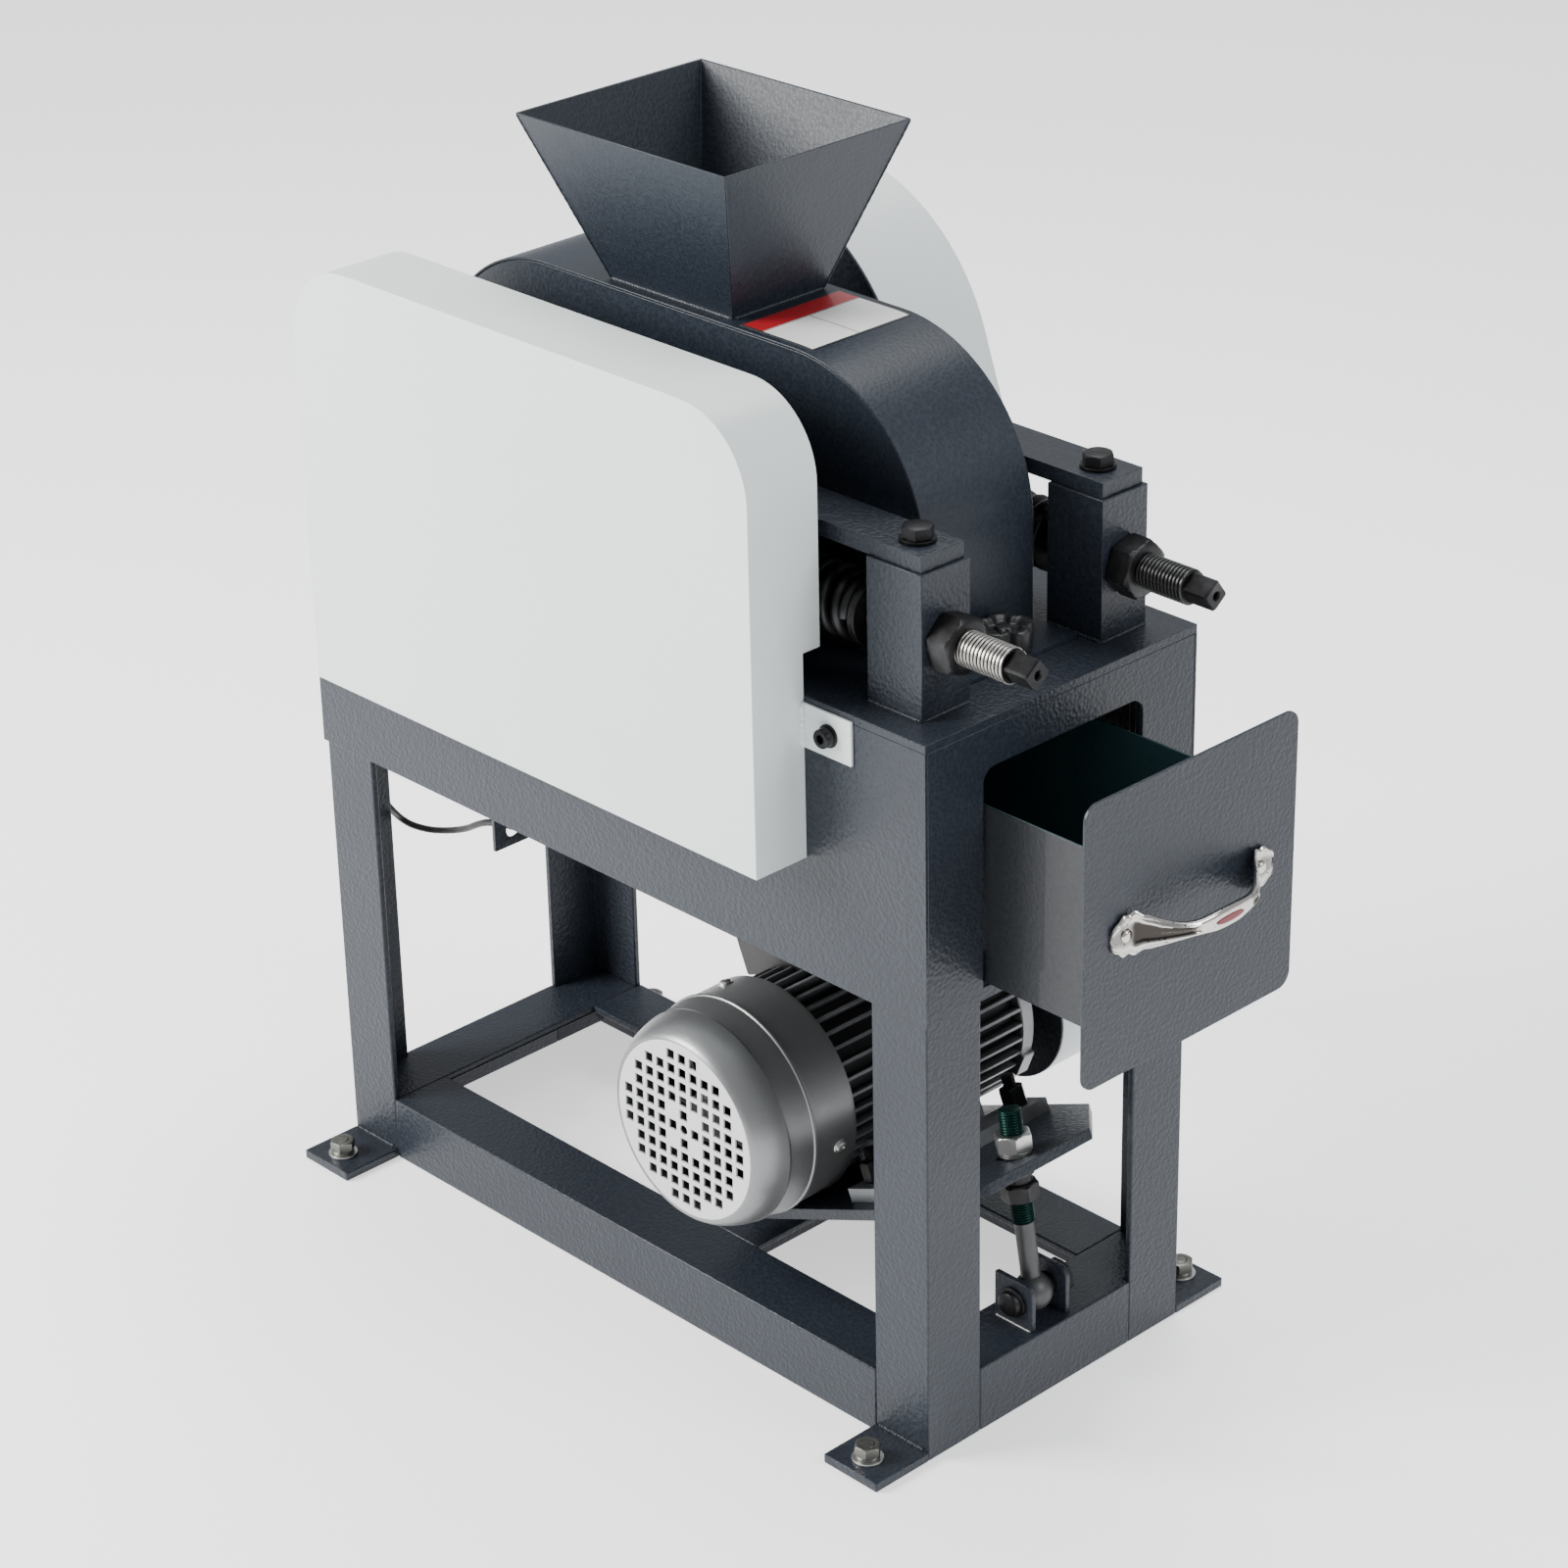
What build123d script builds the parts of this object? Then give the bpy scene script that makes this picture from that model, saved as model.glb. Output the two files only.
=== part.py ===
from build123d import *
import os
from math import asin, cos, degrees, pi, radians, sin, tan

os.makedirs("parts", exist_ok=True)

# Bench double-roll grain mill: two geared rolls in a lift-off casing with a hopper, on an
# angle-iron stand with a sample drawer, driven by belts from a motor on a hinged plate.
# Millimetres. Origin: centre of the stand's footprint on the floor.
# +X points out of the drawer, +Z up, -Y is the gear side, +Y the belt side.

# ---- clearances
FIT = 0.02          # pressed or keyed together
RUN = 0.05          # running fit, radial
GAP = 0.3           # faces that slide or rest past each other

# ---- stand
FRAME_L, FRAME_W = 612.0, 250.0
ANGLE, ANGLE_T = 50.0, 5.0
FOOT_T, FOOT_OUT = 7.0, 50.0
FOOT_HOLE_IN = 33.0             # from the stand's side to the anchor bolt
FOOT_BOLT_R, FOOT_WASHER_R = 5.0, 11.0
CAB_Z, TABLE_Z = 335.0, 535.0   # underside of the cabinet, top of the table
TABLE_T, SKIN = 6.0, 2.0

# ---- posts, bars and bearing blocks
POST_L, POST_W, POST_H = 48.0, 43.0, 99.0
POST_OUT_X = 283.0              # outer face of the end posts
LINE_Y = 82.5                   # bearing and screw centre line, each side
BAR_W, BAR_T, BAR_INSET = 38.0, 11.0, 2.5
BAR_BOLT_R, BAR_HEAD_AF, BAR_HEAD_H = 6.0, 19.0, 8.0
BLOCK_L = 100.0                 # fixed bearing block, along X
MOVING_BLOCK = (60.0, 60.0)     # moving block, each way from its axis
BEARING_R, BEARING_W = 40.0, 23.0

# ---- rolls and gears
ROLL_R, ROLL_W, NIP = 100.0, 75.0, 1.0
AXIS_Z, FIXED_X = 585.0, -124.0
SHAFT_R = 20.0
TEETH, GEAR_W = 67, 25.0
GEAR_Y = -150.5                 # middle of both gears
BACKLASH = 0.25
ROLL_TRAVEL = 6.0               # how far the sprung roll can back off

# ---- sprung roll adjusters
SCREW_R, SCREW_TIP_X, SQUARE_AF, SQUARE_L = 12.0, 361.0, 15.5, 20.0
LOCK_AF, LOCK_T = 36.0, 19.0
SPRING_R, WIRE_R, SPRING_TURNS = 20.0, 4.0, 5
SEAT_X, SEAT_T, SEAT_R = 218.0, 6.0, 23.0

# ---- casing and hopper
CASE_R, CASE_TOP, CASE_HALF_W = 117.0, 726.0, 50.0
CASE_ENDS = (-124.5, 116.3)     # centres of the two rounded ends
CASE_T, CASE_SIDE_T = 2.0, 3.0
BASE_T, BASE_X, BASE_HALF_W = 3.0, (-262.0, 266.0), 57.0
SLOT_GAP = 2.0                  # round each shaft, in the casing sides
HOPPER_X, HOPPER_T = -7.5, 1.5
HOPPER_FOOT, HOPPER_TOP = (118.0, 82.0), (200.0, 166.0)
HOPPER_H = 115.0
KNOB_X, KNOB_R, KNOB_H, KNOB_STUD_R = 254.5, 14.0, 19.0, 4.0

# ---- guards
GEAR_GUARD_X, GEAR_GUARD_Z = (-247.0, 201.0), (420.0, 732.0)
GEAR_GUARD_Y = -172.0
GUARD_R, GUARD_T = 57.0, 1.5
GUARD_STEP_Z, GUARD_LIP_Y = 564.0, -112.0
TAB, TAB_T, TAB_Z = (44.0, 31.0), 2.0, 500.0
TAB_BOLT_R, TAB_BOLT_AF = 4.0, 13.0
BELT_GUARD_Y = (129.0, 213.0)
BELT_GUARD_TOP, BELT_GUARD_TOP_R = (-106.0, 598.0), 149.0
BELT_GUARD_LOW, BELT_GUARD_LOW_R = ((135.0, 185.0), (76.0, 185.0)), 57.0

# ---- drive
BIG_R, SMALL_R, PULLEY_W = 115.0, 35.0, 36.0
DRIVE_Y = 166.0                 # middle of both pulleys
BELT_W, BELT_T, BELT_PITCH = 12.0, 8.9, 16.0
GROOVE_SIDE, GROOVE_DEPTH = 0.4, 9.3

# ---- drawer
DRAWER_OPEN = 107.0             # how far it stands out at rest
DRAWER_L, DRAWER_HALF_W, DRAWER_Z = 560.0, 72.0, (347.0, 474.0)
SHEET = 1.5
FRONT, FRONT_T, FRONT_R, FRONT_Z = 200.0, 2.0, 11.0, 320.0
HANDLE_PITCH, HANDLE_Z, HANDLE_REACH = 128.0, 420.0, 30.0
DOOR_HALF_W, DOOR_Z, DOOR_R = 74.5, (344.5, 500.0), 10.0

# ---- motor and its hinged plate
HINGE_X, HINGE_Z, TILT = 47.0, 62.0, 23.0
HINGE_PIN_R, BARREL_R, BARREL_HALF = 6.0, 10.0, 36.0
LUG_PLATE_T, CROSS_X = 8.0, 37.0
PLATE_LOW, PLATE_T = 4.2, 8.0   # the plate's underside lies this far over the hinge axis
PLATE_U = (14.0, 221.0, 268.0)  # start, shoulder and end, along the slope
PLATE_HALF, TONGUE_HALF, NECK_HALF = 97.5, 50.0, 36.0
EYE_U, SLOT_W, SLOT_L = 243.0, 18.0, 30.0
EYE_NUT_RISE = 5.1     # from the plate's middle to each conical washer, along the bolt
MOTOR_U, MOTOR_H = 103.5, 81.5  # place along the plate, shaft height
MOTOR_R, FIN_R, FIN_COUNT = 66.0, 74.0, 40
MOTOR_Y = (-71.0, 100.0)
SHIELD_T, SHIELD_BOSS = 12.0, 6.0
MOTOR_SHAFT_R, ROTOR_R = 12.0, 38.0
COVER_Y, COVER_R = (-157.0, -71.0), 81.0
FOOT_U, FOOT_PAD_T, FOOT_HALF_L = (62.0, 90.0), 10.0, 85.0
FOOT_BOLT_U, FOOT_BOLT_Y = 76.0, 68.0
MOTOR_BOLT_R, MOTOR_NUT_AF = 5.0, 17.0
BOX_HALF_U, BOX_Y, BOX_RISE, BOX_H = 45.0, (-35.0, 45.0), 68.0, 42.0
GLAND_R, GLAND_L, GLAND_W = 8.0, 12.0, 196.0

# ---- eye-bolt tensioner
EYE_X, EYE_Z, EYE_R, EYE_HALF = 284.0, 68.0, 14.0, 10.0
EYE_BORE_R, EYE_ROD_R, EYE_SHANK_R = 8.0, 8.0, 7.0
EYE_ROD_L, EYE_THREAD_FROM = 137.0, 53.0
LUG_X, LUG_T, LUG_IN, LUG_H = (266.0, 301.0), 4.0, 15.0, 35.0

# ---- motor lead
LEAD_R = 2.5
SWITCH_X, SWITCH_Y, SWITCH_Z = (-348.0, -308.0), (-84.0, -4.0), (380.0, 480.0)
LEAD_END_X, LEAD_END_Y = -330.0, -70.0

# ---- derived
HX, HY = FRAME_L / 2, FRAME_W / 2
SKIN_X, SKIN_Y = HX + SKIN, HY + SKIN
TABLE_UNDER = TABLE_Z - TABLE_T
MOVING_X = FIXED_X + 2 * ROLL_R + NIP
MODULE = (MOVING_X - FIXED_X) / TEETH
BAR_Z = TABLE_Z + POST_H
BOLT_X = POST_OUT_X - POST_L / 2
CASE_FOOT = TABLE_Z + BASE_T
CASE_MID_Z = CASE_TOP - CASE_R
DRAWER_FRONT_X = SKIN_X + DRAWER_OPEN
ON_PLATE = Location((HINGE_X, 0, HINGE_Z), (0, -TILT, 0))
PLATE_TOP = PLATE_LOW + PLATE_T
PLATE_MID = PLATE_LOW + PLATE_T / 2
MOTOR_W = PLATE_TOP + MOTOR_H
MOTOR_AXIS = (ON_PLATE * Pos(MOTOR_U, 0, MOTOR_W)).position
MOTOR_X, MOTOR_Z = MOTOR_AXIS.X, MOTOR_AXIS.Z
SEAT_P = (ON_PLATE * Pos(EYE_U, 0, PLATE_MID)).position
EYE_SPAN = (SEAT_P - Vector(EYE_X, 0, EYE_Z)).length
EYE_LEAN = degrees(asin((EYE_X - SEAT_P.X) / EYE_SPAN))
ON_EYE = Location((EYE_X, 0, EYE_Z), (0, -EYE_LEAN, 0))


# ---- drawing helpers
def block(x, y, z):
    """A box between two limits on each axis, given in either order."""
    low = [min(pair) for pair in (x, y, z)]
    size = [abs(pair[1] - pair[0]) for pair in (x, y, z)]
    middle = [a + s / 2 for a, s in zip(low, size)]
    return Pos(*middle) * Box(*size)


def rod_x(y, z, ends, r):
    return Pos((ends[0] + ends[1]) / 2, y, z) * Rot(Y=90) * Cylinder(r, abs(ends[1] - ends[0]))


def rod_y(x, z, ends, r):
    return Pos(x, (ends[0] + ends[1]) / 2, z) * Rot(X=90) * Cylinder(r, abs(ends[1] - ends[0]))


def rod_z(x, y, ends, r):
    return Pos(x, y, (ends[0] + ends[1]) / 2) * Cylinder(r, abs(ends[1] - ends[0]))


def along_y(outline, ends):
    """Carries an X-Z outline along Y between two limits."""
    return Pos(0, max(ends), 0) * extrude(Plane.XZ * outline, amount=abs(ends[1] - ends[0]))


def along_x(outline, ends):
    """Carries a Y-Z outline along X between two limits."""
    return Pos(min(ends), 0, 0) * extrude(Plane.YZ * outline, amount=abs(ends[1] - ends[0]))


def hexagon(across_flats, height):
    """A hexagonal prism standing on the X-Y plane."""
    return extrude(RegularPolygon(across_flats / 2, 6, major_radius=False), amount=height)


def hull(circles):
    """The outline of a band stretched round circles given as (x, z, r)."""
    return make_hull([e for x, z, r in circles for e in (Pos(x, z) * Circle(r)).edges()])


def group(shapes):
    return Compound(children=[s for s in shapes])


def node(name, shape):
    export_step(shape, f"parts/{name}.step")
    print(f"{name:24s} {shape.volume:12.1f} mm3")


def corners():
    return [(sx, sy) for sx in (-1, 1) for sy in (-1, 1)]


# ---- stand
def leg(sx, sy):
    height = (0, TABLE_UNDER)
    end = block((sx * (HX - ANGLE_T), sx * HX), (sy * (HY - ANGLE), sy * HY), height)
    side = block((sx * (HX - ANGLE), sx * HX), (sy * (HY - ANGLE_T), sy * HY), height)
    return end + side


def side_rail(sy):
    run = (ANGLE - HX, HX - ANGLE)
    web = block(run, (sy * (HY - ANGLE_T), sy * HY), (0, ANGLE))
    top = block(run, (sy * (HY - ANGLE), sy * HY), (ANGLE - ANGLE_T, ANGLE))
    return web + top


def end_rail(sx):
    web = block((sx * (HX - ANGLE_T), sx * HX), (ANGLE - HY, HY - ANGLE), (0, ANGLE))
    flange = (sx * (HX - ANGLE), sx * (HX - ANGLE_T))
    top = block(flange, (ANGLE_T - HY, HY - ANGLE_T), (ANGLE - ANGLE_T, ANGLE))
    return web + top


def foot_centre(sx, sy):
    return sx * (HX - ANGLE / 2), sy * (HY + FOOT_HOLE_IN)


def foot_plate(sx, sy):
    x, y = foot_centre(sx, sy)
    plate = block((sx * (HX - ANGLE), sx * HX), (sy * HY, sy * (HY + FOOT_OUT)), (0, FOOT_T))
    return plate - rod_z(x, y, (-1, FOOT_T + 1), FOOT_BOLT_R + FIT)


def foot_bolt(sx, sy):
    """Anchor stud with its washer and hex nut, standing in one foot plate."""
    x, y = foot_centre(sx, sy)
    stud = rod_z(x, y, (0, FOOT_T + 15), FOOT_BOLT_R)
    washer = rod_z(x, y, (FOOT_T, FOOT_T + 2), FOOT_WASHER_R)
    nut = Pos(x, y, FOOT_T + 2) * hexagon(17, 8)
    return stud + washer + nut


def lead_tab():
    """Small tab under the gear-side skin's lower edge that carries the motor lead."""
    tab = block((-121.5, -118.5), (-HY, -95), (309, CAB_Z + 12))
    return tab - rod_x(-107, 322, (-122, -118), LEAD_R + 5)


def cabinet_side(sy):
    skin = block((-SKIN_X, SKIN_X), (sy * HY, sy * SKIN_Y), (CAB_Z, TABLE_UNDER))
    return skin + lead_tab() if sy < 0 else skin


def drawer_doorway():
    """Opening in the front skin, square below and rounded at its top corners."""
    low, high = DOOR_Z
    tall = high - low + DOOR_R
    outline = Pos(0, low + tall / 2 - DOOR_R) * RectangleRounded(2 * DOOR_HALF_W, tall, DOOR_R)
    cut = along_x(outline, (HX - 1, SKIN_X + 1))
    return cut + block((HX - 1, SKIN_X + 1), (-DOOR_HALF_W, DOOR_HALF_W), (low, low + DOOR_R))


def cabinet_front():
    skin = block((HX, SKIN_X), (-HY, HY), (CAB_Z, TABLE_UNDER))
    below = block((HX - 1, SKIN_X + 1), (-HY, HY), (CAB_Z - DOOR_R, DOOR_Z[0]))
    return skin - (drawer_doorway() - below)


def cabinet_rear():
    return block((-SKIN_X, -HX), (-HY, HY), (CAB_Z, TABLE_UNDER))


def table_plate():
    plate = block((-SKIN_X, SKIN_X), (-SKIN_Y, SKIN_Y), (TABLE_UNDER, TABLE_Z))
    throat_x = (FIXED_X - ROLL_R + 5, MOVING_X + ROLL_R + ROLL_TRAVEL)
    throat = block(throat_x, (-ROLL_W / 2 - 5, ROLL_W / 2 + 5), (TABLE_UNDER - 1, TABLE_Z + 1))
    stud = rod_z(KNOB_X, 0, (TABLE_UNDER - 1, TABLE_Z + 1), KNOB_STUD_R + RUN)
    return plate - throat - stud


def drawer_runner(sy):
    """Angle strip between the end legs, under one lower edge of the drawer."""
    inner = HY - ANGLE
    run = (ANGLE_T - HX, HX - ANGLE_T)
    shelf_z = (DRAWER_Z[0] - GAP - SKIN, DRAWER_Z[0] - GAP)
    shelf = block(run, (sy * (inner - 25), sy * inner), shelf_z)
    ends = (-HX, HX)
    wall = block(ends, (sy * (inner - SKIN), sy * inner), (shelf_z[0], DRAWER_Z[0] + 20))
    return shelf + wall


def post(sx, sy):
    x = (sx * (POST_OUT_X - POST_L), sx * POST_OUT_X)
    y = (sy * (LINE_Y - POST_W / 2), sy * (LINE_Y + POST_W / 2))
    body = block(x, y, (TABLE_Z, BAR_Z))
    body -= rod_z(sx * BOLT_X, sy * LINE_Y, (BAR_Z - 30, BAR_Z + 1), BAR_BOLT_R + FIT)
    if sx > 0:
        body -= rod_x(sy * LINE_Y, AXIS_Z, (x[0] - 1, x[1] + 1), SCREW_R + RUN)
    return body


def top_bar(sy):
    end = POST_OUT_X - BAR_INSET
    bar = block((-end, end), (sy * (LINE_Y - BAR_W / 2), sy * (LINE_Y + BAR_W / 2)),
                (BAR_Z, BAR_Z + BAR_T))
    for sx in (-1, 1):
        bar -= rod_z(sx * BOLT_X, sy * LINE_Y, (BAR_Z - 1, BAR_Z + BAR_T + 1), BAR_BOLT_R + FIT)
    return bar


def bar_bolt(sx, sy):
    x, y, top = sx * BOLT_X, sy * LINE_Y, BAR_Z + BAR_T
    shank = rod_z(x, y, (BAR_Z - 26, top), BAR_BOLT_R)
    washer = rod_z(x, y, (top, top + 2.5), 12)
    head = Pos(x, y, top + 2.5) * hexagon(BAR_HEAD_AF, BAR_HEAD_H)
    return shank + washer + head


# ---- bearings and rolls
def bearing_block(axis_x, back, front, sy, air):
    """Housing between the table and the top bar, with air above and below if it slides."""
    y = (sy * (LINE_Y - POST_W / 2), sy * (LINE_Y + POST_W / 2))
    body = block((axis_x - back, axis_x + front), y, (TABLE_Z + air, BAR_Z - air))
    return body - rod_y(axis_x, AXIS_Z, (y[0] - sy, y[1] + sy), BEARING_R + FIT)


def bearing(axis_x, sy):
    y = (sy * (LINE_Y - BEARING_W / 2), sy * (LINE_Y + BEARING_W / 2))
    ring = rod_y(axis_x, AXIS_Z, y, BEARING_R)
    return ring - rod_y(axis_x, AXIS_Z, (y[0] - sy, y[1] + sy), SHAFT_R + RUN)


def on_shaft(axis_x, y, r, bore=SHAFT_R + FIT):
    """A round body on a roll shaft, between two Y limits."""
    solid = rod_y(axis_x, AXIS_Z, y, r)
    return solid - rod_y(axis_x, AXIS_Z, (min(y) - 1, max(y) + 1), bore)


def gear_outline():
    """Straight-flanked teeth: half thickness narrows from root to tip by the 20 degree slope."""
    pitch_r = MODULE * TEETH / 2
    tip_r, root_r = pitch_r + MODULE, pitch_r - 1.25 * MODULE
    half = pi * MODULE / 4 - BACKLASH
    tip_half = half - MODULE * tan(radians(20))
    root_half = half + 1.25 * MODULE * tan(radians(20))
    points = []
    for i in range(TEETH):
        middle = 2 * pi * i / TEETH
        for r, side in ((root_r, -root_half), (tip_r, -tip_half), (tip_r, tip_half), (root_r, root_half)):
            angle = middle + side / r
            points.append((r * cos(angle), r * sin(angle)))
    return make_face(Polyline(*points, close=True))


def gear(axis_x):
    y = (GEAR_Y - GEAR_W / 2, GEAR_Y + GEAR_W / 2)
    solid = along_y(Pos(axis_x, AXIS_Z) * gear_outline(), y)
    return solid - rod_y(axis_x, AXIS_Z, (y[0] - 1, y[1] + 1), SHAFT_R + FIT)


def belt_planes():
    return [DRIVE_Y - BELT_PITCH / 2, DRIVE_Y + BELT_PITCH / 2]


def pulley(x, z, r, bore):
    y = (DRIVE_Y - PULLEY_W / 2, DRIVE_Y + PULLEY_W / 2)
    wheel = rod_y(x, z, y, r)
    half = BELT_W / 2 + GROOVE_SIDE
    for mid in belt_planes():
        ring = rod_y(x, z, (mid - half, mid + half), r + 1)
        wheel -= ring - rod_y(x, z, (mid - half - 1, mid + half + 1), r - GROOVE_DEPTH)
    return wheel - rod_y(x, z, (y[0] - 1, y[1] + 1), bore)


def big_pulley():
    wheel = pulley(FIXED_X, AXIS_Z, BIG_R, SHAFT_R + FIT)
    for sy in (-1, 1):
        pocket = (DRIVE_Y + sy * 7, DRIVE_Y + sy * (PULLEY_W / 2 + 1))
        ring = rod_y(FIXED_X, AXIS_Z, pocket, BIG_R - 22)
        wheel -= ring - rod_y(FIXED_X, AXIS_Z, pocket, SHAFT_R + 16)
    return wheel


def belt(mid):
    y = (mid - BELT_W / 2, mid + BELT_W / 2)
    outer, inner = 0.4, 0.4 + BELT_T - 0.4
    ring = along_y(hull([(FIXED_X, AXIS_Z, BIG_R - outer), (MOTOR_X, MOTOR_Z, SMALL_R - outer)]), y)
    hole = hull([(FIXED_X, AXIS_Z, BIG_R - inner), (MOTOR_X, MOTOR_Z, SMALL_R - inner)])
    return ring - along_y(hole, (y[0] - 1, y[1] + 1))


# ---- adjusters
def spring(sy):
    start = MOVING_X + MOVING_BLOCK[1] + GAP + WIRE_R
    height = SEAT_X - GAP - WIRE_R - start
    path = Helix(height / SPRING_TURNS, height, SPRING_R)
    wire = sweep(Plane(path @ 0, z_dir=path % 0) * Circle(WIRE_R), path=path)
    return Pos(start, sy * LINE_Y, AXIS_Z) * Rot(Y=90) * wire


def spring_seat(sy):
    y = sy * LINE_Y
    seat = rod_x(y, AXIS_Z, (SEAT_X, SEAT_X + SEAT_T), SEAT_R)
    seat += rod_x(y, AXIS_Z, (SEAT_X - 14, SEAT_X), SPRING_R - WIRE_R - 1)
    return seat - rod_x(y, AXIS_Z, (SEAT_X + 2, SEAT_X + SEAT_T + 1), 8 + RUN)


def adjusting_screw(sy):
    y = sy * LINE_Y
    square_x = SCREW_TIP_X - SQUARE_L
    tip = rod_x(y, AXIS_Z, (SEAT_X + 2 + GAP, SEAT_X + SEAT_T + GAP), 8)
    thread = rod_x(y, AXIS_Z, (SEAT_X + SEAT_T + GAP, square_x), SCREW_R)
    half = SQUARE_AF / 2
    square = block((square_x, SCREW_TIP_X), (y - half, y + half), (AXIS_Z - half, AXIS_Z + half))
    square &= rod_x(y, AXIS_Z, (square_x, SCREW_TIP_X), half * 1.32)
    return tip + thread + square - rod_x(y, AXIS_Z, (SCREW_TIP_X - 6, SCREW_TIP_X + 1), 2.5)


def lock_nut(sy):
    nut = Pos(POST_OUT_X, sy * LINE_Y, AXIS_Z) * Rot(Y=90) * hexagon(LOCK_AF, LOCK_T)
    return nut - rod_x(sy * LINE_Y, AXIS_Z, (POST_OUT_X - 1, POST_OUT_X + LOCK_T + 1), SCREW_R + RUN)


# ---- casing
def case_outline(inset):
    """Stadium with straight sides carried down to the casing's foot."""
    r = CASE_R - inset
    left, right = CASE_ENDS
    low = block_outline(left - r, right + r, CASE_FOOT, CASE_MID_Z)
    whole = low + hull([(left, CASE_MID_Z, r), (right, CASE_MID_Z, r)])
    return whole & block_outline(-400, 400, CASE_FOOT, CASE_TOP + 1)


def block_outline(x0, x1, z0, z1):
    return Pos((x0 + x1) / 2, (z0 + z1) / 2) * Rectangle(x1 - x0, z1 - z0)


def hopper_cut(size, depth):
    x, y = size[0] / 2, size[1] / 2
    return block((HOPPER_X - x, HOPPER_X + x), (-y, y), (CASE_TOP - depth, CASE_TOP + 1))


def casing_wrapper():
    y = (-CASE_HALF_W, CASE_HALF_W)
    shell = along_y(case_outline(0), y) - along_y(case_outline(CASE_T), (y[0] - 1, y[1] + 1))
    r = CASE_R - CASE_T
    foot = (CASE_FOOT - 1, CASE_FOOT + CASE_T + 1)
    shell -= block((CASE_ENDS[0] - r, CASE_ENDS[1] + r), (y[0] - 1, y[1] + 1), foot)
    mouth = [s - 2 * HOPPER_T - 2 for s in HOPPER_FOOT]
    return shell - hopper_cut(mouth, CASE_T + 1)


def shaft_slot(x0, x1, y):
    """Open-bottomed slot that lets the casing lift off over a shaft."""
    r = SHAFT_R + SLOT_GAP
    top = hull([(x0, AXIS_Z, r), (x1, AXIS_Z, r)]) if x1 > x0 else Pos(x0, AXIS_Z) * Circle(r)
    return along_y(top + block_outline(x0 - r, x1 + r, CASE_FOOT - 1, AXIS_Z), y)


def casing_side(sy):
    outer = CASE_HALF_W - 0.5
    y = (sy * (outer - CASE_SIDE_T), sy * outer)
    wide = (y[0] - sy, y[1] + sy)
    plate = along_y(case_outline(CASE_T + RUN), y)
    plate -= shaft_slot(FIXED_X, FIXED_X, wide)
    return plate - shaft_slot(MOVING_X, MOVING_X + ROLL_TRAVEL, wide)


def casing_base():
    plate = block(BASE_X, (-BASE_HALF_W, BASE_HALF_W), (TABLE_Z, CASE_FOOT))
    r = CASE_R - CASE_T
    mouth_x = (CASE_ENDS[0] - r + 2, CASE_ENDS[1] + r - 2)
    mouth_y = CASE_HALF_W - CASE_SIDE_T - 2
    plate -= block(mouth_x, (-mouth_y, mouth_y), (TABLE_Z - 1, CASE_FOOT + 1))
    for x in (FIXED_X, MOVING_X + ROLL_TRAVEL / 2):
        half = SHAFT_R + SLOT_GAP + ROLL_TRAVEL / 2
        plate -= block((x - half, x + half), (-BASE_HALF_W - 1, BASE_HALF_W + 1), (TABLE_Z - 1, CASE_FOOT + 1))
    return plate - rod_z(KNOB_X, 0, (TABLE_Z - 1, CASE_FOOT + 1), KNOB_STUD_R + FIT)


def hopper():
    def funnel(inset, low, high):
        foot = [s - 2 * inset for s in HOPPER_FOOT]
        top = [s - 2 * inset for s in HOPPER_TOP]
        lower = Pos(HOPPER_X, 0, low) * Rectangle(*foot)
        upper = Pos(HOPPER_X, 0, high) * Rectangle(*top)
        return loft([lower, upper])
    outside = funnel(0, CASE_TOP, CASE_TOP + HOPPER_H)
    return outside - funnel(HOPPER_T, CASE_TOP, CASE_TOP + HOPPER_H)


def star_knob():
    low = CASE_FOOT + 3
    knob = rod_z(KNOB_X, 0, (CASE_FOOT + GAP, low), 9)
    knob += rod_z(KNOB_X, 0, (low, low + KNOB_H), KNOB_R + 2)
    for i in range(6):
        a = radians(60 * i)
        knob += rod_z(KNOB_X + KNOB_R * cos(a), KNOB_R * sin(a), (low, low + KNOB_H), 6)
    return knob + rod_z(KNOB_X, 0, (TABLE_UNDER - 8, low + 1), KNOB_STUD_R)


# ---- guards
def guard_outline(inset):
    (x0, x1), (z0, z1) = GEAR_GUARD_X, GEAR_GUARD_Z
    x0, x1, z0, z1, r = x0 + inset, x1 - inset, z0 + inset, z1 - inset, GUARD_R - inset
    middle = block_outline(x0, x1, z0, z1 - r)
    return middle + hull([(x0 + r, z1 - r, r), (x1 - r, z1 - r, r)])


def tab(x, sx, skin_y, sy):
    """Fixing lug that lies on the cabinet's side and takes one bolt in a slot."""
    y = (sy * skin_y, sy * (skin_y + TAB_T))
    lug = block((x, x + sx * TAB[0]), y, (TAB_Z, TAB_Z + TAB[1]))
    hole_x, hole_z = tab_bolt_place(x, sx)
    return lug - rod_y(hole_x, hole_z, (y[0] - sy, y[1] + sy), TAB_BOLT_R + FIT)


def tab_bolt_place(x, sx):
    return x + sx * TAB[0] * 0.55, TAB_Z + TAB[1] / 2


def gear_guard():
    deep = (GEAR_GUARD_Y, GUARD_LIP_Y)
    shell = along_y(guard_outline(0), deep)
    shell -= along_y(guard_outline(GUARD_T), (GEAR_GUARD_Y + GUARD_T, GUARD_LIP_Y + 1))
    step = block((-400, 400), (-SKIN_Y, GUARD_LIP_Y + 1), (GEAR_GUARD_Z[0] - 1, GUARD_STEP_Z))
    shell -= step
    for x, sx in zip(GEAR_GUARD_X, (-1, 1)):
        shell += tab(x, sx, SKIN_Y, -1)
    return shell


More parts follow.
